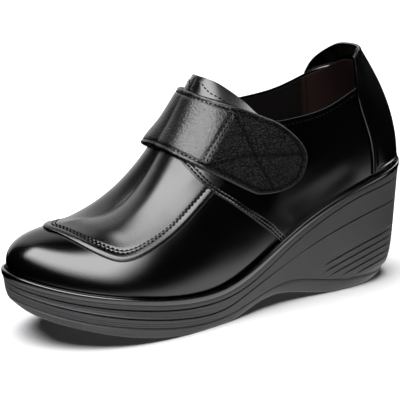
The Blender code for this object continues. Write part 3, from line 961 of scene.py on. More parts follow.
def upperGrid(side):
    # ways and ups of the upper's points: rows follow the apron's seam, columns the quarter's edge
    offsets = np.array(upper["offsets"])
    tableUps = np.linspace(0, 1, 60)
    edgeScale = perWay(toTurn(quarterEdge(tableUps), side), np.clip(tableUps, 0.02, 0.97))
    tableWays = np.linspace(0, 1, 120)
    seamScale = perUp(toTurn(tableWays, side), apronSeam(tableWays))
    heel = np.linspace(0, 1, upper["heelColumns"] + 1)
    instep = np.linspace(0, 1, upper["instepColumns"] + 1)[1:-1]
    vamp = np.linspace(0, 1, upper["vampColumns"] + 1) ** upper["vampCrowding"]
    toe = np.linspace(0, 1, upper["toeRows"] + 1) ** upper["toeCrowding"]
    apron = np.linspace(0, 1, upper["apronRows"] + 1)[1:]
    columns = len(heel) + len(instep) + len(offsets) + len(vamp)
    rows = len(toe) + len(offsets) + len(apron)
    quarterColumns = len(heel) + len(instep) + len(offsets)
    up = np.linspace(0, 1, rows)[:, None] * np.ones(columns)
    for _ in range(upper["gridRounds"]):
        parts = np.split(np.arange(columns), np.cumsum([len(heel), len(instep), len(offsets)]))
        behind, under, close, ahead = parts
        edge = quarterEdge(up)
        scale = np.interp(up, tableUps, edgeScale)
        lean = 1 - upper["throatLean"] * (1 - up)
        throat = edge - (quarterEdge(1.0) - throatWay) * lean
        near = edge - offsets[-1] / scale
        front = edge + upper["step"] / scale
        way = np.concatenate([
            throat[:, behind] * heel,
            throat[:, under] + (near - throat)[:, under] * instep,
            edge[:, close] - offsets[::-1] / scale[:, close],
            front[:, ahead] + (1 - front)[:, ahead] * vamp,
        ], axis=1)
        low, middle, high = np.split(np.arange(rows), np.cumsum([len(toe), len(offsets)]))
        seam = apronSeam(way)
        scale = np.interp(way, tableWays, seamScale)
        top = seam + offsets[-1] / scale
        up = np.concatenate([
            (seam - upper["step"] / scale)[low] * toe[:, None],
            seam[middle] + offsets[:, None] / scale[middle],
            top[high] + (1 - top)[high] * apron[:, None],
        ])
    turn = toTurn(way, side)
    up = up * (1 - (1 - collarUp(turn[-1])) * up ** 2)
    onQuarter = np.arange(columns) < quarterColumns
    onApron = np.arange(rows) >= len(toe)
    return way, turn, up, onQuarter, onApron[:, None]


def stitchDips(distance, rows):
    return sum(upper["stitchDip"] * bell(distance, row, upper["stitchDipWide"]) for row in rows)


def carriedOn(path, reach=12.0, spacing=0.3):
    # a dense path with a straight piece in front of its first point
    back = unit(path[0] - path[8]) * spacing
    return np.concatenate([path[0] + back * np.arange(reach / spacing, 0, -1)[:, None], path])


def panelRelief(side, base, onQuarter, onApron):
    # height of the leather's face above the last, in millimetres
    joint = junctionWay()
    seamPath = densePath(*seamLine(side, joint, 1.0))
    edgePath = carriedOn(densePath(*quarterLine(side)))
    fromSeam = distanceTo(base, seamPath)
    fromEdge = distanceTo(base, edgePath)
    dips = stitchDips(fromSeam, upper["apronStitches"])
    roll = upper["rollHeight"] * bell(fromSeam, upper["rollAt"], upper["rollWide"])
    valley = upper["valleyDepth"] * bell(fromSeam, upper["valleyAt"], upper["valleyWide"])
    apronTop = upper["raised"] + roll - dips - valley
    apron = upper["sunk"] + (apronTop - upper["sunk"]) * cutEdge(fromSeam, upper["edgeRadius"])
    front = np.where(onApron, upper["raised"], upper["sunk"])
    dips = stitchDips(fromEdge, upper["quarterStitches"])
    lap = upper["lapRise"] * np.exp(-fromEdge / upper["lapFade"])
    quarter = front + (upper["raised"] + lap - dips - front) * cutEdge(fromEdge, upper["edgeRadius"])
    relief = np.where(onQuarter, quarter, np.where(onApron, apron, upper["sunk"]))
    for row in zip(*creases.values()):
        crease = dict(zip(creases, row))
        if crease["side"] == side:
            steps = np.linspace(0, 1, 12)
            ways = crease["way0"] + (crease["way1"] - crease["way0"]) * steps
            ups = crease["up0"] + (crease["up1"] - crease["up0"]) * steps
            away = distanceTo(base, densePath(toTurn(ways, side), ups, 0.5))
            relief = relief - crease["depth"] * bell(away, 0, crease["wide"])
            lip = bell(away, creaseLip["at"] * crease["wide"], crease["wide"])
            relief = relief + creaseLip["share"] * crease["depth"] * lip
    return relief


def ridgeNormals(way, normal):
    # along the ridge of the instep both sides share one normal
    ridge = way[-1] > throatWay - tiny
    shared = lastNormal(way[-1, ridge], 1.0) + lastNormal(2 - way[-1, ridge], 1.0)
    normal[-1, ridge] = unit(shared)
    return normal, int(np.argmax(ridge))


def makeUpper():
    sheets, marks = [], []
    for side in (1, -1):
        way, turn, up, onQuarter, onApron = upperGrid(side)
        base = lastPoint(turn, up)
        normal, throat = ridgeNormals(way, lastNormal(turn, up))
        relief = panelRelief(side, base, onQuarter, onApron)
        ridge = way[-1] > throatWay - tiny
        relief[-1, ridge] = upper["raised"]
        relief[:, -1] = np.where(onApron[:, 0], relief[:, -1], upper["sunk"])
        outside = base + normal * relief[..., None]
        kept = np.unique(np.linspace(0, len(up) - 1, upper["insideRows"]).astype(int))
        inside = (base - normal * upper["inside"])[kept]
        for sheet in (outside, inside):
            sheet[0, :, 2] = rimHeight(sheet[0, :, 0]) + sole["gap"]
        upwards = unit(base[-1] - base[-2])[:throat + 1]
        rim = []
        for share in np.linspace(0, 1, 6):
            across = outside[-1, :throat + 1] * (1 - share) + inside[-1, :throat + 1] * share
            fade = np.linspace(1, 0, throat + 1)[:, None] ** 0.2
            rim.append(across + upwards * fade * upper["rimBulge"] * np.sin(np.pi * share))
        made = [outside, inside, np.stack([outside[0], inside[0]]), np.stack(rim)]
        sheets += made
        tongue = ease(way, *upper["tongue"])
        marks += [np.where(onQuarter, tongue, 1.0) * onApron] + [0 * sheet[..., 0] for sheet in made[1:]]
        sewUpper(side)
    mesh = weld("lastedUpper", sheets, {"apron": marks})
    place("lastedUpper", mesh, upperLeather(), "upper_leather", "upper")


def sewOnUpper(turn, up, height):
    points = lastPoint(turn, up)
    normals = lastNormal(turn, up)
    sew(points + normals * height, normals)


def sewBelowEdge(side, way, drop, height):
    turn = toTurn(way, side)
    top = collarUp(turn)
    sewOnUpper(turn, top - drop / perUp(turn, top - 0.03), height)


def sewUpper(side):
    joint = junctionWay()
    for row in upper["apronStitches"]:
        turn, up = seamLine(side, joint + 0.004, 0.999, row)
        sewOnUpper(turn, np.minimum(up, 0.985), upper["raised"] - upper["stitchDip"])
    for row in upper["quarterStitches"]:
        turn, up = quarterLine(side, row)
        lap = upper["lapRise"] * np.exp(-row / upper["lapFade"])
        sewOnUpper(turn[6:], up[6:], upper["raised"] + lap - upper["stitchDip"])
    way = np.linspace(*upper["collarSewn"], 160)
    sewBelowEdge(side, way, upper["collarStitch"], upper["raised"])
    begins, ends = (throatWay + past for past in upper["tongueSewnOver"])
    way = np.linspace(upper["tongueSewnFrom"], ends, 160)
    drop = upper["tongueStitch"] * (1 - ease(way, begins, ends))
    sewBelowEdge(side, way, drop, upper["raised"] - upper["tongueStitchSunk"])


# Lining: brown leather inside the upper, with a heel piece of its own
lining = {
    "outer": 1.05,
    "inner": 1.6,
    "below": 0.014,          # how far it stops under the collar's edge, as a share of the wall
    "lift": 6.5,             # of its top at the back, inside the counter's ear
    "liftFades": (0.03, 0.25),
    "rows": 30,
    "columns": 120,
    "heelPiece": 0.275,
}


def makeLining():
    sheets, marks = [], []
    for side in (1, -1):
        way = np.concatenate([
            np.linspace(0, throatWay, lining["columns"] // 2, endpoint=False),
            np.linspace(throatWay, 1, lining["columns"] // 2),
        ])
        turn = toTurn(way, side)
        collar = collarUp(turn)
        lift = lining["lift"] * (1 - ease(way, *lining["liftFades"])) / perUp(turn, collar)
        top = collar + lift - lining["below"] * (way < throatWay - tiny)
        up = np.linspace(0, 1, lining["rows"] + 1)[:, None] * top
        ways = way + 0 * up
        base = lastPoint(turn + 0 * up, up)
        normal, throat = ridgeNormals(ways, lastNormal(turn + 0 * up, up))
        outer, inner = base - normal * lining["outer"], base - normal * lining["inner"]
        for sheet in (outer, inner):
            sheet[0, :, 2] = rimHeight(sheet[0, :, 0]) + sole["gap"]
        heel = 1.0 - ease(ways, lining["heelPiece"] - 0.002, lining["heelPiece"] + 0.002)
        for faces, (near, far) in ((sheets, (outer, inner)), (marks, (heel, heel))):
            foot = np.stack([near[0], far[0]])
            top = np.stack([near[-1, :throat + 1], far[-1, :throat + 1]])
            faces += [near, far, foot, top]
        seam = np.full(60, toTurn(lining["heelPiece"] - 0.008, side))
        seamUp = np.linspace(0.1, 0.97, 60) * collarUp(seam)
        sew(lastPoint(seam, seamUp) - lastNormal(seam, seamUp) * lining["inner"], -lastNormal(seam, seamUp))
    place("lining", weld("lining", sheets, {"heelPiece": marks}), brownLining(), "upper_leather")


# Counter: leather round the back, with an ear above the collar
counter = {
    "thick": 1.4,
    "foot": 0.06,
    "rim": table(            # from the edge on the inner side to the one on the outer side
        "across height",
        (-1.00, 121.5),
        (-0.94, 126.3),
        (-0.86, 130.0),
        (-0.70, 134.0),
        (-0.42, 138.6),
        (0.00, 140.9),
        (0.40, 141.7),
        (0.75, 142.1),
        (0.92, 141.8),
        (1.00, 139.0),
    ),
    "edge": table(
        "up way",
        (0.06, 0.230),
        (0.22, 0.232),
        (0.375, 0.241),
        (0.51, 0.253),
        (0.65, 0.262),
        (0.85, 0.264),
        (1.00, 0.262),
    ),
    "edgeRadius": 0.8,
    "rollHeight": 0.25,
    "rollAt": 1.4,
    "rollWide": 1.0,
    "grooveAt": 2.8,
    "grooveWide": 0.5,
    "grooveDepth": 0.45,
    "cornerFades": (3.0, 11.0),  # roll and groove die away towards the ear's corners
    "rows": 90,
    "columns": 140,
}


def makeCounter():
    front = column(counter["edge"], "up", "way")
    rim = column(counter["rim"], "across", "height")
    across = 2 * cosine(counter["columns"]) - 1
    edge = np.mod(across * front(1.0), 2.0)
    foot, crown = lastPoint(edge, 0.0)[:, 2], lastPoint(edge, 1.0)[:, 2]
    top = (rim(across) - foot) / (crown - foot)
    up = counter["foot"] + (top - counter["foot"]) * cosine(counter["rows"])[:, None]
    turn = np.mod(across * front(up), 2.0)
    base = lastPoint(turn, up)
    normal = lastNormal(turn, up)
    fromEdge = distanceTo(base, borderOf(base, 6000))
    corners = np.stack([base[-1, 0], base[-1, -1]])
    fromCorner = np.linalg.norm(base[..., None, :] - corners, axis=-1).min(-1)
    plain = ease(fromCorner, *counter["cornerFades"])
    roll = plain * counter["rollHeight"] * bell(fromEdge, counter["rollAt"], counter["rollWide"])
    groove = plain * counter["grooveDepth"] * bell(fromEdge, counter["grooveAt"], counter["grooveWide"])
    thick = (counter["thick"] + roll - groove) * cutEdge(fromEdge, counter["edgeRadius"])
    inside = base + normal * (upper["raised"] + sole["gap"])
    outside = inside + normal * thick[..., None]
    mesh = weld("heelCounter", bandSheets(inside, outside))
    place("heelCounter", mesh, upperLeather(), "counter_leather", "counter")


# Strap: a band over the instep, smooth in front and pebbled on its tab
strap = {
    "thick": 2.4,
    "clear": 0.7,
    "centre": (99.3, 0.0, 96.4),
    "fall": 0.319,
    "liftAcross": (-0.2, 1.0),
    "band": table(           # lift is how far its lower edge stands off the vamp
        "degrees upper lower lift",
        (-140, -14.0, 23.0, 0.0),
        (-60, -15.5, 24.0, 1.5),
        (-32, -16.0, 23.0, 2.2),
        (-8, -16.0, 19.4, 1.4),
        (20, -15.5, 19.8, 0.5),
        (40, -14.8, 22.8, 0.0),
        (60, -14.0, 26.2, 0.0),
        (75, -13.4, 28.0, 0.0),
        (100, -13.0, 29.5, 0.0),
        (140, -13.0, 29.5, 0.0),
    ),
    "start": -112.0,
    "bandEnd": 58.0,
    "endSide": 29.0,
    "endReach": -25.3,
    "corners": table("side cut power", (-1, 28.0, 2.6), (1, 28.0, 2.5)),
    "rows": 40,              # of the grid on the last, before the edges are rounded
    "columns": 130,
    "endColumns": 40,
    "edgeRadius": 1.3,
    "rawEdge": (0.5, 1.0),
    "stitchInset": 2.8,
    "endInset": 5.0,         # degrees
    "overlap": 0.35,         # step from the smooth leather down to the tab
    "tabBegins": (38.0, 41.0),
    "leastThick": 0.4,
    "crossStitch": table("degrees share", (39.7, -0.86), (36.8, 0.10), (34.6, 0.86)),
    "crossGap": 2.0,         # degrees from it to a second row
    "fallStitch": table("degrees share", (42.1, -0.70), (71.2, 0.05), (100.1, 0.70)),
    "riseStitch": table("degrees share", (37.5, 0.80), (50.9, 0.40), (71.2, 0.06), (124.5, -0.32)),
    "grooveDepth": 0.5,
    "grooveWide": 0.8,
}
strapUpper = column(strap["band"], "degrees", "upper")
strapLower = column(strap["band"], "degrees", "lower")
strapLift = column(strap["band"], "degrees", "lift")


def strapEnd(share):
    row = (share > 0).astype(int)
    cut = strap["corners"]["cut"][row] * abs(share) ** strap["corners"]["power"][row]
    return np.degrees(np.arctan2(strap["endSide"], strap["endReach"] + cut))


def strapColumn(degrees, share):
    # fractional column of the strap's grid at an angle
    band = (degrees - strap["start"]) / (strap["bandEnd"] - strap["start"]) * strap["columns"]
    tail = (degrees - strap["bandEnd"]) / (strapEnd(share) - strap["bandEnd"]) * strap["endColumns"]
    return np.where(degrees <= strap["bandEnd"], band, strap["columns"] + tail)


def strapRow(share):
    return (share + 1) / 2 * strap["rows"]


def strapOnLast():
    # grid of points of the last under the strap, with their normals and angles
    turns, ups = np.linspace(0, 2, 641), np.linspace(0, 1, 241)
    skin = lastPoint(turns[:, None] + 0 * ups, ups + 0 * turns[:, None])
    index = np.arange(skin[..., 0].size).reshape(skin.shape[:2])
    quads = np.stack([index[:-1, :-1], index[1:, :-1], index[1:, 1:], index[:-1, 1:]], -1).reshape(-1, 4)
    tree = BVHTree.FromPolygons(skin.reshape(-1, 3).tolist(), quads.tolist())
    share = np.linspace(-1, 1, strap["rows"] + 1)[:, None]
    band = np.linspace(strap["start"], strap["bandEnd"], strap["columns"] + 1) + 0 * share
    tail = np.linspace(0, 1, strap["endColumns"] + 1)[1:]
    degrees = np.concatenate([band, strap["bandEnd"] + (strapEnd(share) - strap["bandEnd"]) * tail], axis=1)
    low, high = strapUpper(degrees), strapLower(degrees)
    across = (low + high) / 2 + share * (high - low) / 2
    steep = np.sqrt(1 - strap["fall"] ** 2)
    down = Vector((strap["fall"], 0, -steep))
    forward = Vector((steep, 0, strap["fall"]))
    points = np.zeros((*degrees.shape, 3))
    for at, angle in np.ndenumerate(np.radians(degrees)):
        ray = forward * np.cos(angle) + Vector((0, np.sin(angle), 0))
        outside = Vector(strap["centre"]) + down * across[at] + ray * sole["length"]
        points[at] = tree.ray_cast(outside, -ray)[0]
    normal = unit(np.cross(np.gradient(points, axis=0), np.gradient(points, axis=1)))
    return points, normal, degrees


def strapStand(degrees, share):
    # height of the strap's underside above the last
    return upper["raised"] + strap["clear"] + strapLift(degrees) * ease(share, *strap["liftAcross"])


def strapLines():
    # degrees and shares of the rows of stitches: along the edges, round the tab, across and slantwise
    steps = np.linspace(0, 1, 200)
    lines = {}
    for name, side in (("upperRow", -1), ("lowerRow", 1)):
        stop = strapEnd(np.array([side * 0.93]))[0] - strap["endInset"]
        degrees = strap["start"] + 3.0 + (stop - strap["start"] - 3.0) * steps
        width = strapLower(degrees) - strapUpper(degrees)
        lines[name] = degrees, side * (1 - 2 * strap["stitchInset"] / width)
    share = 0.86 * (2 * steps - 1)
    lines["tabRow"] = strapEnd(share / 0.86 * 0.93) - strap["endInset"], share
    for name in ("crossStitch", "fallStitch", "riseStitch"):
        knots = np.linspace(0, 1, len(strap[name]["share"]))
        lines[name] = tuple(spline(knots, strap[name][key])(steps) for key in ("degrees", "share"))
    degrees, share = lines["crossStitch"]
    lines["secondCross"] = degrees - strap["crossGap"], share
    return lines


def makeStrap():
    points, normal, degrees = strapOnLast()
    rows = strap["rows"] * cosine(64)
    span = points.shape[1] - 1
    columns = span * (0.25 * cosine(260) + 0.75 * np.linspace(0, 1, 261))
    at = np.meshgrid(rows, columns, indexing="ij")
    base = resample(points, *at)
    out = unit(resample(normal, *at))
    angle = resample(degrees[..., None], *at)[..., 0]
    share = 2 * at[0] / strap["rows"] - 1
    fromEdge = distanceTo(base, borderOf(base, 8000))
    cross = strap["crossStitch"]
    crossAt = np.interp(share, cross["share"], cross["degrees"]) + 0.8
    pebbled = ease(angle, crossAt - 0.6, crossAt + 0.6)
    rawEdge = pebbled * (1 - ease(fromEdge, *strap["rawEdge"]))
    thick = strap["thick"] * cutEdge(fromEdge, strap["edgeRadius"]) - strap["overlap"] * pebbled
    # painted shade: a mark of the stitch grooves that darkens the tab's colour there
    seamShade = 0 * share
    for lineDegrees, lineShare in strapLines().values():
        where = strapRow(lineShare), strapColumn(lineDegrees, lineShare)
        spots = resample(points, *where)
        outwards = unit(resample(normal, *where))
        dent = bell(distanceTo(base, finer(spots, 1500)), 0, strap["grooveWide"])
        thick = thick - strap["grooveDepth"] * dent
        seamShade = np.maximum(seamShade, dent)
        onTab = ease(lineDegrees, *strap["tabBegins"])
        top = strapStand(lineDegrees, lineShare) + strap["thick"] - strap["overlap"] * onTab
        sew(spots + outwards * (top - strap["grooveDepth"])[:, None], outwards)
    inside = base + out * strapStand(angle, share)[..., None]
    outside = inside + out * np.maximum(thick, strap["leastThick"])[..., None]
    marks = {"pebbled": pebbled, "rawEdge": rawEdge, "seamShade": seamShade}
    marks = {name: bandSheets(values, values) for name, values in marks.items()}
    mesh = weld("instepStrap", bandSheets(inside, outside), marks)
    place("instepStrap", mesh, strapLeather(), "strap_leather", "strap")


# Welt: a glossy strip on the sole's rim
welt = {
    "height": 3.5,
    "proud": 0.6,
    "inner": 1.0,
    "edge": 0.9,
    "foot": (0.25, 0.3),     # bevel under its outer edge
    "columns": 220,
}


def ringTurns(sideColumns):
    return np.linspace(0, 2, 2 * sideColumns + 1)


def ladder(ring, steps=2):
    # sheet across a ring, from its outer side to its inner side
    half = len(ring) // 2
    outer, inner = ring[:half + 1], ring[half:][::-1]
    share = np.linspace(0, 1, steps)[:, None, None]
    return outer * (1 - share) + inner * share


def makeWelt():
    turn = ringTurns(welt["columns"])
    way, _ = fold(turn)
    bottom = rimHeight(rimStation(turn)) + sole["gap"]
    inner = -ledge(way) + welt["inner"]
    corner = [(np.cos(a), np.sin(a)) for a in np.linspace(0, np.pi / 2, 6)]
    bevel, height = welt["foot"]
    rows = [(inner, 0.0), (welt["proud"] - bevel, 0.0), (welt["proud"], height)]
    for cos, sin in corner:
        rows.append((welt["proud"] - welt["edge"] * (1 - cos), welt["height"] - welt["edge"] * (1 - sin)))
    rows += [(inner, welt["height"]), (inner, 0.0)]
    points = [np.stack([*plan(turn, outset), bottom + rise], -1) for outset, rise in rows]
    mesh = weld("rimWelt", [np.stack(points)], sharpAngle=55)
    place("rimWelt", mesh, weltLeather(), "welt_leather", "welt")


# Wedge: moulded sole with lines and ribs in its wall
wedge = {
    "lineWidth": 1.2,
    "lineDepth": 1.8,
    "bead": 0.12,            # round strip between the rim and the first line
    "lines": table(
        "station first long",
        (0, 6.2, 20.7),
        (26, 4.0, 16.8),
        (42, 3.3, 16.1),
        (62, 3.7, 15.1),
        (80, 4.2, 13.7),
        (100, 4.5, 10.9),
        (114, 4.4, 9.0),
        (135, 3.2, 9.1),
        (160, 2.9, 8.5),
        (190, 3.0, 8.0),
        (226, 2.8, 6.6),
        (247, 2.7, 6.0),
    ),
    "waist": (86.0, 30.0),   # where the lines are shallow
    "waistDepth": (0.75, 0.4),
    "ribs": 5,
    "ribDepth": 1.7,
    "ribDrop": 17.7,         # from the long line to the first rib
    "ribPitch": 4.35,
    "ribLeast": 0.6,
    "ribRunout": (1.0, 6.0),
    "ribFade": (58.0, 68.0),
    "ribWidth": 0.7,
    "ribShare": 0.18,        # at most this much of the way up to the next line
    "faintDepth": 0.22,      # thin line between two ribs
    "toeRibDepth": 0.5,
    "toeRibRise": (135.0, 160.0),
    "columns": 170,
    "between": 4,            # rows of points from one line to the next
}
firstLine = column(wedge["lines"], "station", "first")
longLine = column(wedge["lines"], "station", "long")


def groove(height, depth, half):
    return [(height + half, 0.0), (height, depth), (height - half, 0.0)]


def wedgeRows(station):
    # height and depth of the lines round the wedge's wall, from the rim down to the seam
    rim = rimHeight(station)
    seam = seamHeight(station) + sole["gap"]
    toeDepth = wedge["toeRibDepth"] * ease(station, *wedge["toeRibRise"])
    heelDepth = 1 - ease(station, *wedge["ribFade"])
    half = wedge["lineWidth"] / 2
    first, long = rim - firstLine(station), rim - longLine(station)
    rows = [(rim, 0.0), ((rim + first + half) / 2, -wedge["bead"])]
    shallow = bell(station, *wedge["waist"])
    depths = [wedge["lineDepth"] * (1 + (least - 1) * shallow) for least in wedge["waistDepth"]]
    firstDepth, longDepth = depths
    rows += groove(first, firstDepth, half)
    for share, depth in ((1 / 3, toeDepth), (1 / 2, 0.0), (2 / 3, toeDepth)):
        rows.append((first - half + (long - first + 2 * half) * share, depth))
    rows += groove(long, longDepth, half)
    above = long - half
    for k in range(wedge["ribs"]):
        parallel = long - wedge["ribDrop"] - wedge["ribPitch"] * k
        height = np.maximum(parallel, seam + wedge["ribLeast"] * (wedge["ribs"] - k))
        shown = heelDepth * ease(height - seam, *wedge["ribRunout"])
        thin = np.minimum(wedge["ribWidth"], (above - height) * wedge["ribShare"])
        middle = np.minimum((above + height) / 2, height + wedge["ribPitch"] / 2)
        rows += groove(middle, wedge["faintDepth"] * shown, thin / 2)
        rows += groove(height, wedge["ribDepth"] * shown + toeDepth * (k % 2), thin)
        above = height
    return rows + [((above + seam) / 2, 0.0), (seam, wedge["lineDepth"] / 2)]


def wallSheet(turn, keys, between):
    # wall of the sole through key rows of (height, depth), eased from one to the next, and its depths
    rows = []
    for (high, shallow), (low, deep) in zip(keys, keys[1:]):
        for share in np.arange(between) / between:
            blend = 0.5 - 0.5 * np.cos(np.pi * share)
            rows.append((high + (low - high) * share, shallow + (deep - shallow) * blend))
    rows.append(keys[-1])
    wall = np.stack([solePoint(turn, height, sunk) for height, sunk in rows])
    return wall, np.stack([sunk + 0 * turn for _, sunk in rows])


def makeWedge():
    turn = ringTurns(wedge["columns"])
    wall, sunk = wallSheet(turn, wedgeRows(rimStation(turn)), wedge["between"])
    sheets = [wall, ladder(wall[0]), ladder(wall[-1])]
    # the groove mark carries painted shade: how deep each point lies in a line or rib of the wall
    marks = {"groove": [sunk / wedge["lineDepth"]] + [0 * sheet[..., 0] for sheet in sheets[1:]]}
    mesh = weld("mouldedWedge", sheets, marks)
    place("mouldedWedge", mesh, mouldedSole("mouldedFoam", soleLook), "wedge_foam", "wedge")


# Outsole: rubber tread
outsole = {
    "edge": 1.2,
    "columns": 150,
    "depth": 1.8,
    "groove": 4.0,
    "margin": 9.0,
    "heelBars": (34.0, 44.0, 54.0),
    "ballBars": (136.0, 148.0, 160.0, 172.0, 184.0),
    "fineDepth": 0.7,
    "fineGroove": 1.2,
    "fineMargin": 12.0,
    "lip": 0.2,              # share of the wall that leans out under the seam
    "edgeBend": 0.3,
}


def grooveBoxes():
    # station, depth and width of each groove across the tread, with its reach from side to side
    wide = outsole["depth"], outsole["groove"], outsole["margin"]
    thin = outsole["fineDepth"], outsole["fineGroove"], outsole["fineMargin"]
    groups = outsole["heelBars"], outsole["ballBars"]
    bars = [(station, *wide) for group in groups for station in group]
    for group in groups:
        half = (group[1] - group[0]) / 2
        bars += [(station, *thin) for station in (group[0] - half, *(s + half for s in group))]
    for station, depth, width, margin in bars:
        way = np.arccos(1 - 2 * station / sole["length"]) / np.pi
        floor = floorHeight(np.array(station))
        outer = solePoint(np.array(way), floor)[1] - margin
        inner = solePoint(np.array(2 - way), floor)[1] + margin
        centre = np.array([station - sole["length"] / 2, (inner + outer) / 2, floor])
        yield centre, (width, outer - inner, 2 * depth)


def makeOutsole():
    turn = ringTurns(outsole["columns"])
    station = rimStation(turn)
    low = floorHeight(station)
    seam = seamHeight(station)
    lip = (seam - low) * outsole["lip"]
    edge, bend = outsole["edge"], outsole["edgeBend"]
    keys = [
        (seam, wedge["lineDepth"] / 2),
        (seam - lip, 0.0),
        (low + edge, 0.0),
        (low + edge * bend, edge * bend),
        (low, edge),
    ]
    wall, _ = wallSheet(turn, keys, 2)
    solid = addObject("treadBlank", weld("treadBlank", [wall, ladder(wall[0]), ladder(wall[-1])]))
    cutter = bmesh.new()
    for centre, size in grooveBoxes():
        box = bmesh.ops.create_cube(cutter, size=mm)["verts"]
        bmesh.ops.scale(cutter, vec=size, verts=box)
        bmesh.ops.translate(cutter, vec=centre * mm, verts=box)
    grooves = addObject("treadGrooves", meshFrom("treadGrooves", cutter))
    cut = solid.modifiers.new("grooves", "BOOLEAN")
    cut.operation = "DIFFERENCE"
    cut.object = grooves
    mesh = bpy.data.meshes.new_from_object(solid.evaluated_get(bpy.context.evaluated_depsgraph_get()))
    for made in (solid, grooves):
        bpy.data.objects.remove(made)
    mesh.set_sharp_from_angle(angle=np.radians(40))
    look = dict(soleLook, rough=0.55, stippleScale=1100.0)
    place("treadOutsole", mesh, mouldedSole("treadRubber", look), "outsole_rubber", "outsole")


# Insole: leather footbed on the wedge
insole = {
    "thick": 3.0,
    "clear": 0.6,
    "wall": 1.6,
    "columns": 110,
    "lanes": 16,
    "cup": 0.7,
    "edge": 0.8,
}


def makeInsole():
    turn = ringTurns(insole["columns"])
    way, _ = fold(turn)
    along, side = plan(turn, -ledge(way) - insole["wall"] - insole["clear"])
    bottom = np.stack([along, side, rimHeight(along) + sole["gap"]], -1)
    rise = np.array([0, 0, insole["thick"]])
    shoulder = bottom + rise - np.array([0, 0, insole["edge"]])
    top = ladder(bottom + rise, insole["lanes"] + 1)
    lanes = np.linspace(-1, 1, insole["lanes"] + 1)[:, None]
    top[..., 2] -= insole["cup"] * (1 - lanes ** 2) * np.sin(np.pi * np.linspace(0, 1, top.shape[1]))
    edgeTop = np.concatenate([top[0], top[-1, ::-1][1:]])
    sheets = [np.stack([bottom, shoulder, edgeTop]), ladder(bottom), top]
    place("footbed", weld("footbed", sheets), insoleLeather(), "insole_leather", "insole")


# Studio: pale floor under a wide light from above, soft boxes that only the gloss mirrors,
# and the photograph's view
studio = {
    "viewTurn": 28.202,      # degrees of the camera from the shoe's outer side towards the toe
    "viewRise": 16.447,
    "viewRoll": -1.437,
    "distance": 0.8,
    "target": (-0.00013, 0.0, 0.05706),
    "focalPixels": 1403.0,
    "framePixels": 400.0,
    "targetPixel": (210.9, 206.9),
    "sensor": 36.0,
    "sun": {                 # broad light from above
        "azimuth": 5.0,
        "rise": 80.0,
        "wide": 60.0,
        "strength": 9.0,
    },
    "surround": 0.005,
    "domeRadius": 2.5,
    "domeShade": 0.006,
    "softBoxes": (           # degrees: middle, tilt, and where the light begins, is full, fades and ends
        {"azimuth": 54.7, "rise": 49.2, "tilt": -37.0, "strength": 11.0,
         "across": (-53, -43, 28, 64), "upwards": (-38, -8, 11, 24)},
        {"azimuth": -98.0, "rise": 28.0, "tilt": 0.0, "strength": 1.0,
         "across": (-35, -15, 15, 35), "upwards": (-45, -25, 25, 45)},
        {"azimuth": 175.0, "rise": 22.0, "tilt": 0.0, "strength": 7.0,
         "across": (-38, -18, 18, 38), "upwards": (-12, -4, 4, 12)},
    ),
    "floorSize": 6.0,
    "floorColour": (0.54, 0.54, 0.548, 1),
    "floorRough": 0.6,
    "poolSize": 0.45,
    "poolHeight": 0.0002,
    "pools": (               # pale floor that the polished leather mirrors
        {"middle": (0.02, 0.03, 0.0), "reach": (0.20, 0.12, 1.0), "fade": (0.55, 1.0), "strength": 1.8},
        {"middle": (-0.23, 0.13, 0.0), "reach": (0.10, 0.075, 1.0), "fade": (0.5, 1.0), "strength": 1.5},
    ),
}


def outwards(azimuth, rise):
    azimuth, rise = np.radians((azimuth, rise))
    return Vector((np.cos(azimuth) * np.cos(rise), np.sin(azimuth) * np.cos(rise), np.sin(rise)))


def aim(made, direction):
    made.rotation_mode = "QUATERNION"
    made.rotation_quaternion = (-direction).to_track_quat("-Z", "Y")


def makeCamera():
    back = outwards(90.0 - studio["viewTurn"], studio["viewRise"])
    lens = bpy.data.cameras.new("photoView")
    lens.sensor_width = studio["sensor"]
    lens.lens = studio["focalPixels"] / studio["framePixels"] * studio["sensor"]
    lens.shift_x = 0.5 - studio["targetPixel"][0] / studio["framePixels"]
    lens.shift_y = studio["targetPixel"][1] / studio["framePixels"] - 0.5
    lens.clip_start = 0.01
    camera = addObject("photoView", lens)
    camera.location = Vector(studio["target"]) + back * studio["distance"]
    aim(camera, back)
    camera.rotation_quaternion @= Quaternion((0, 0, 1), np.radians(studio["viewRoll"]))
    bpy.context.scene.camera = camera


def makeLights():
    light = bpy.data.lights.new("overhead", "SUN")
    light.angle = np.radians(studio["sun"]["wide"])
    light.energy = studio["sun"]["strength"]
    sun = addObject("overhead", light)
    aim(sun, outwards(studio["sun"]["azimuth"], studio["sun"]["rise"]))
    sun.visible_glossy = False
    world = bpy.data.worlds.new("studio")
    world.use_nodes = True
    background = world.node_tree.nodes["Background"]
    background.inputs["Color"].default_value = (1, 1, 1, 1)
    background.inputs["Strength"].default_value = studio["surround"]
    bpy.context.scene.world = world


def glowing(name, light):
    # a material that shines by the wire that a function makes from object coordinates
    made = bpy.data.materials.new(name)
    made.use_nodes = True
    tree = made.node_tree
    where = Wire(tree).make("ShaderNodeTexCoord", out="Object")
    shine = where.make("ShaderNodeEmission", {}, {"Color": light(where), "Strength": 1.0})
    tree.links.new(shine.socket, tree.nodes["Material Output"].inputs["Surface"])
    made.cycles.emission_sampling = "NONE"
    return made


def mirroredOnly(made):
    # seen in the gloss of the leather and nowhere else
    made.visible_camera = made.visible_diffuse = made.visible_shadow = False
    made.visible_transmission = made.visible_volume_scatter = False


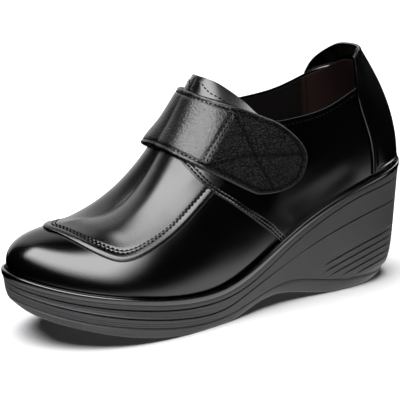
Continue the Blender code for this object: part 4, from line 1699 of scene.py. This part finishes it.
def domeLight(where):
    light = studio["domeShade"]
    for box in studio["softBoxes"]:
        ahead = outwards(box["azimuth"], box["rise"])
        level = Vector((0, 0, 1)).cross(ahead).normalized()
        level.rotate(Quaternion(ahead, np.radians(box["tilt"])))
        depth = where.vectors("DOT_PRODUCT", ahead, "Value")
        shine = depth.maths("GREATER_THAN", depth, 0.0) * box["strength"]
        for axis, edges in ((level, box["across"]), (ahead.cross(level), box["upwards"])):
            angle = where.maths("ARCTAN2", where.vectors("DOT_PRODUCT", axis, "Value"), depth)
            begins, full, fades, ends = np.radians(edges)
            shine = shine * angle.between(begins, full) * (1 - angle.between(fades, ends))
        light = shine + light
    return light


def makeDome():
    bm = bmesh.new()
    bmesh.ops.create_uvsphere(bm, u_segments=96, v_segments=48, radius=studio["domeRadius"])
    dome = addObject("softBoxes", meshFrom("softBoxes", bm))
    dome.data.materials.append(glowing("softBoxes", domeLight))
    mirroredOnly(dome)


def flatDisc(name, radius, height):
    bm = bmesh.new()
    bmesh.ops.create_circle(bm, cap_ends=True, segments=96, radius=radius)
    made = addObject(name, meshFrom(name, bm))
    made.location.z = height
    return made


def makeFloor():
    paper = bpy.data.materials.new("paleFloor")
    paper.use_nodes = True
    shader = paper.node_tree.nodes["Principled BSDF"]
    shader.inputs["Base Color"].default_value = studio["floorColour"]
    shader.inputs["Roughness"].default_value = studio["floorRough"]
    shader.inputs["Specular IOR Level"].default_value = 0.0
    floor = flatDisc("floor", studio["floorSize"], 0.0)
    floor.data.materials.append(paper)
    floor.visible_glossy = False
    pool = flatDisc("floorGlow", studio["poolSize"], studio["poolHeight"])
    pool.data.materials.append(glowing("floorGlow", poolLight))
    mirroredOnly(pool)


def poolLight(where):
    light = 0.0
    for pool in studio["pools"]:
        shares = where.vectors("SUBTRACT", pool["middle"]).vectors("DIVIDE", pool["reach"])
        reach = shares.vectors("LENGTH", out="Value")
        light = (1 - reach.between(*pool["fade"])) * pool["strength"] + light
    return light


makeCamera()
makeOutsole()
makeWedge()
makeWelt()
makeInsole()
makeUpper()
makeLining()
makeCounter()
makeStrap()
makeStitches()
makeFloor()
makeDome()
makeLights()
bpy.context.scene.view_settings.view_transform = "Standard"
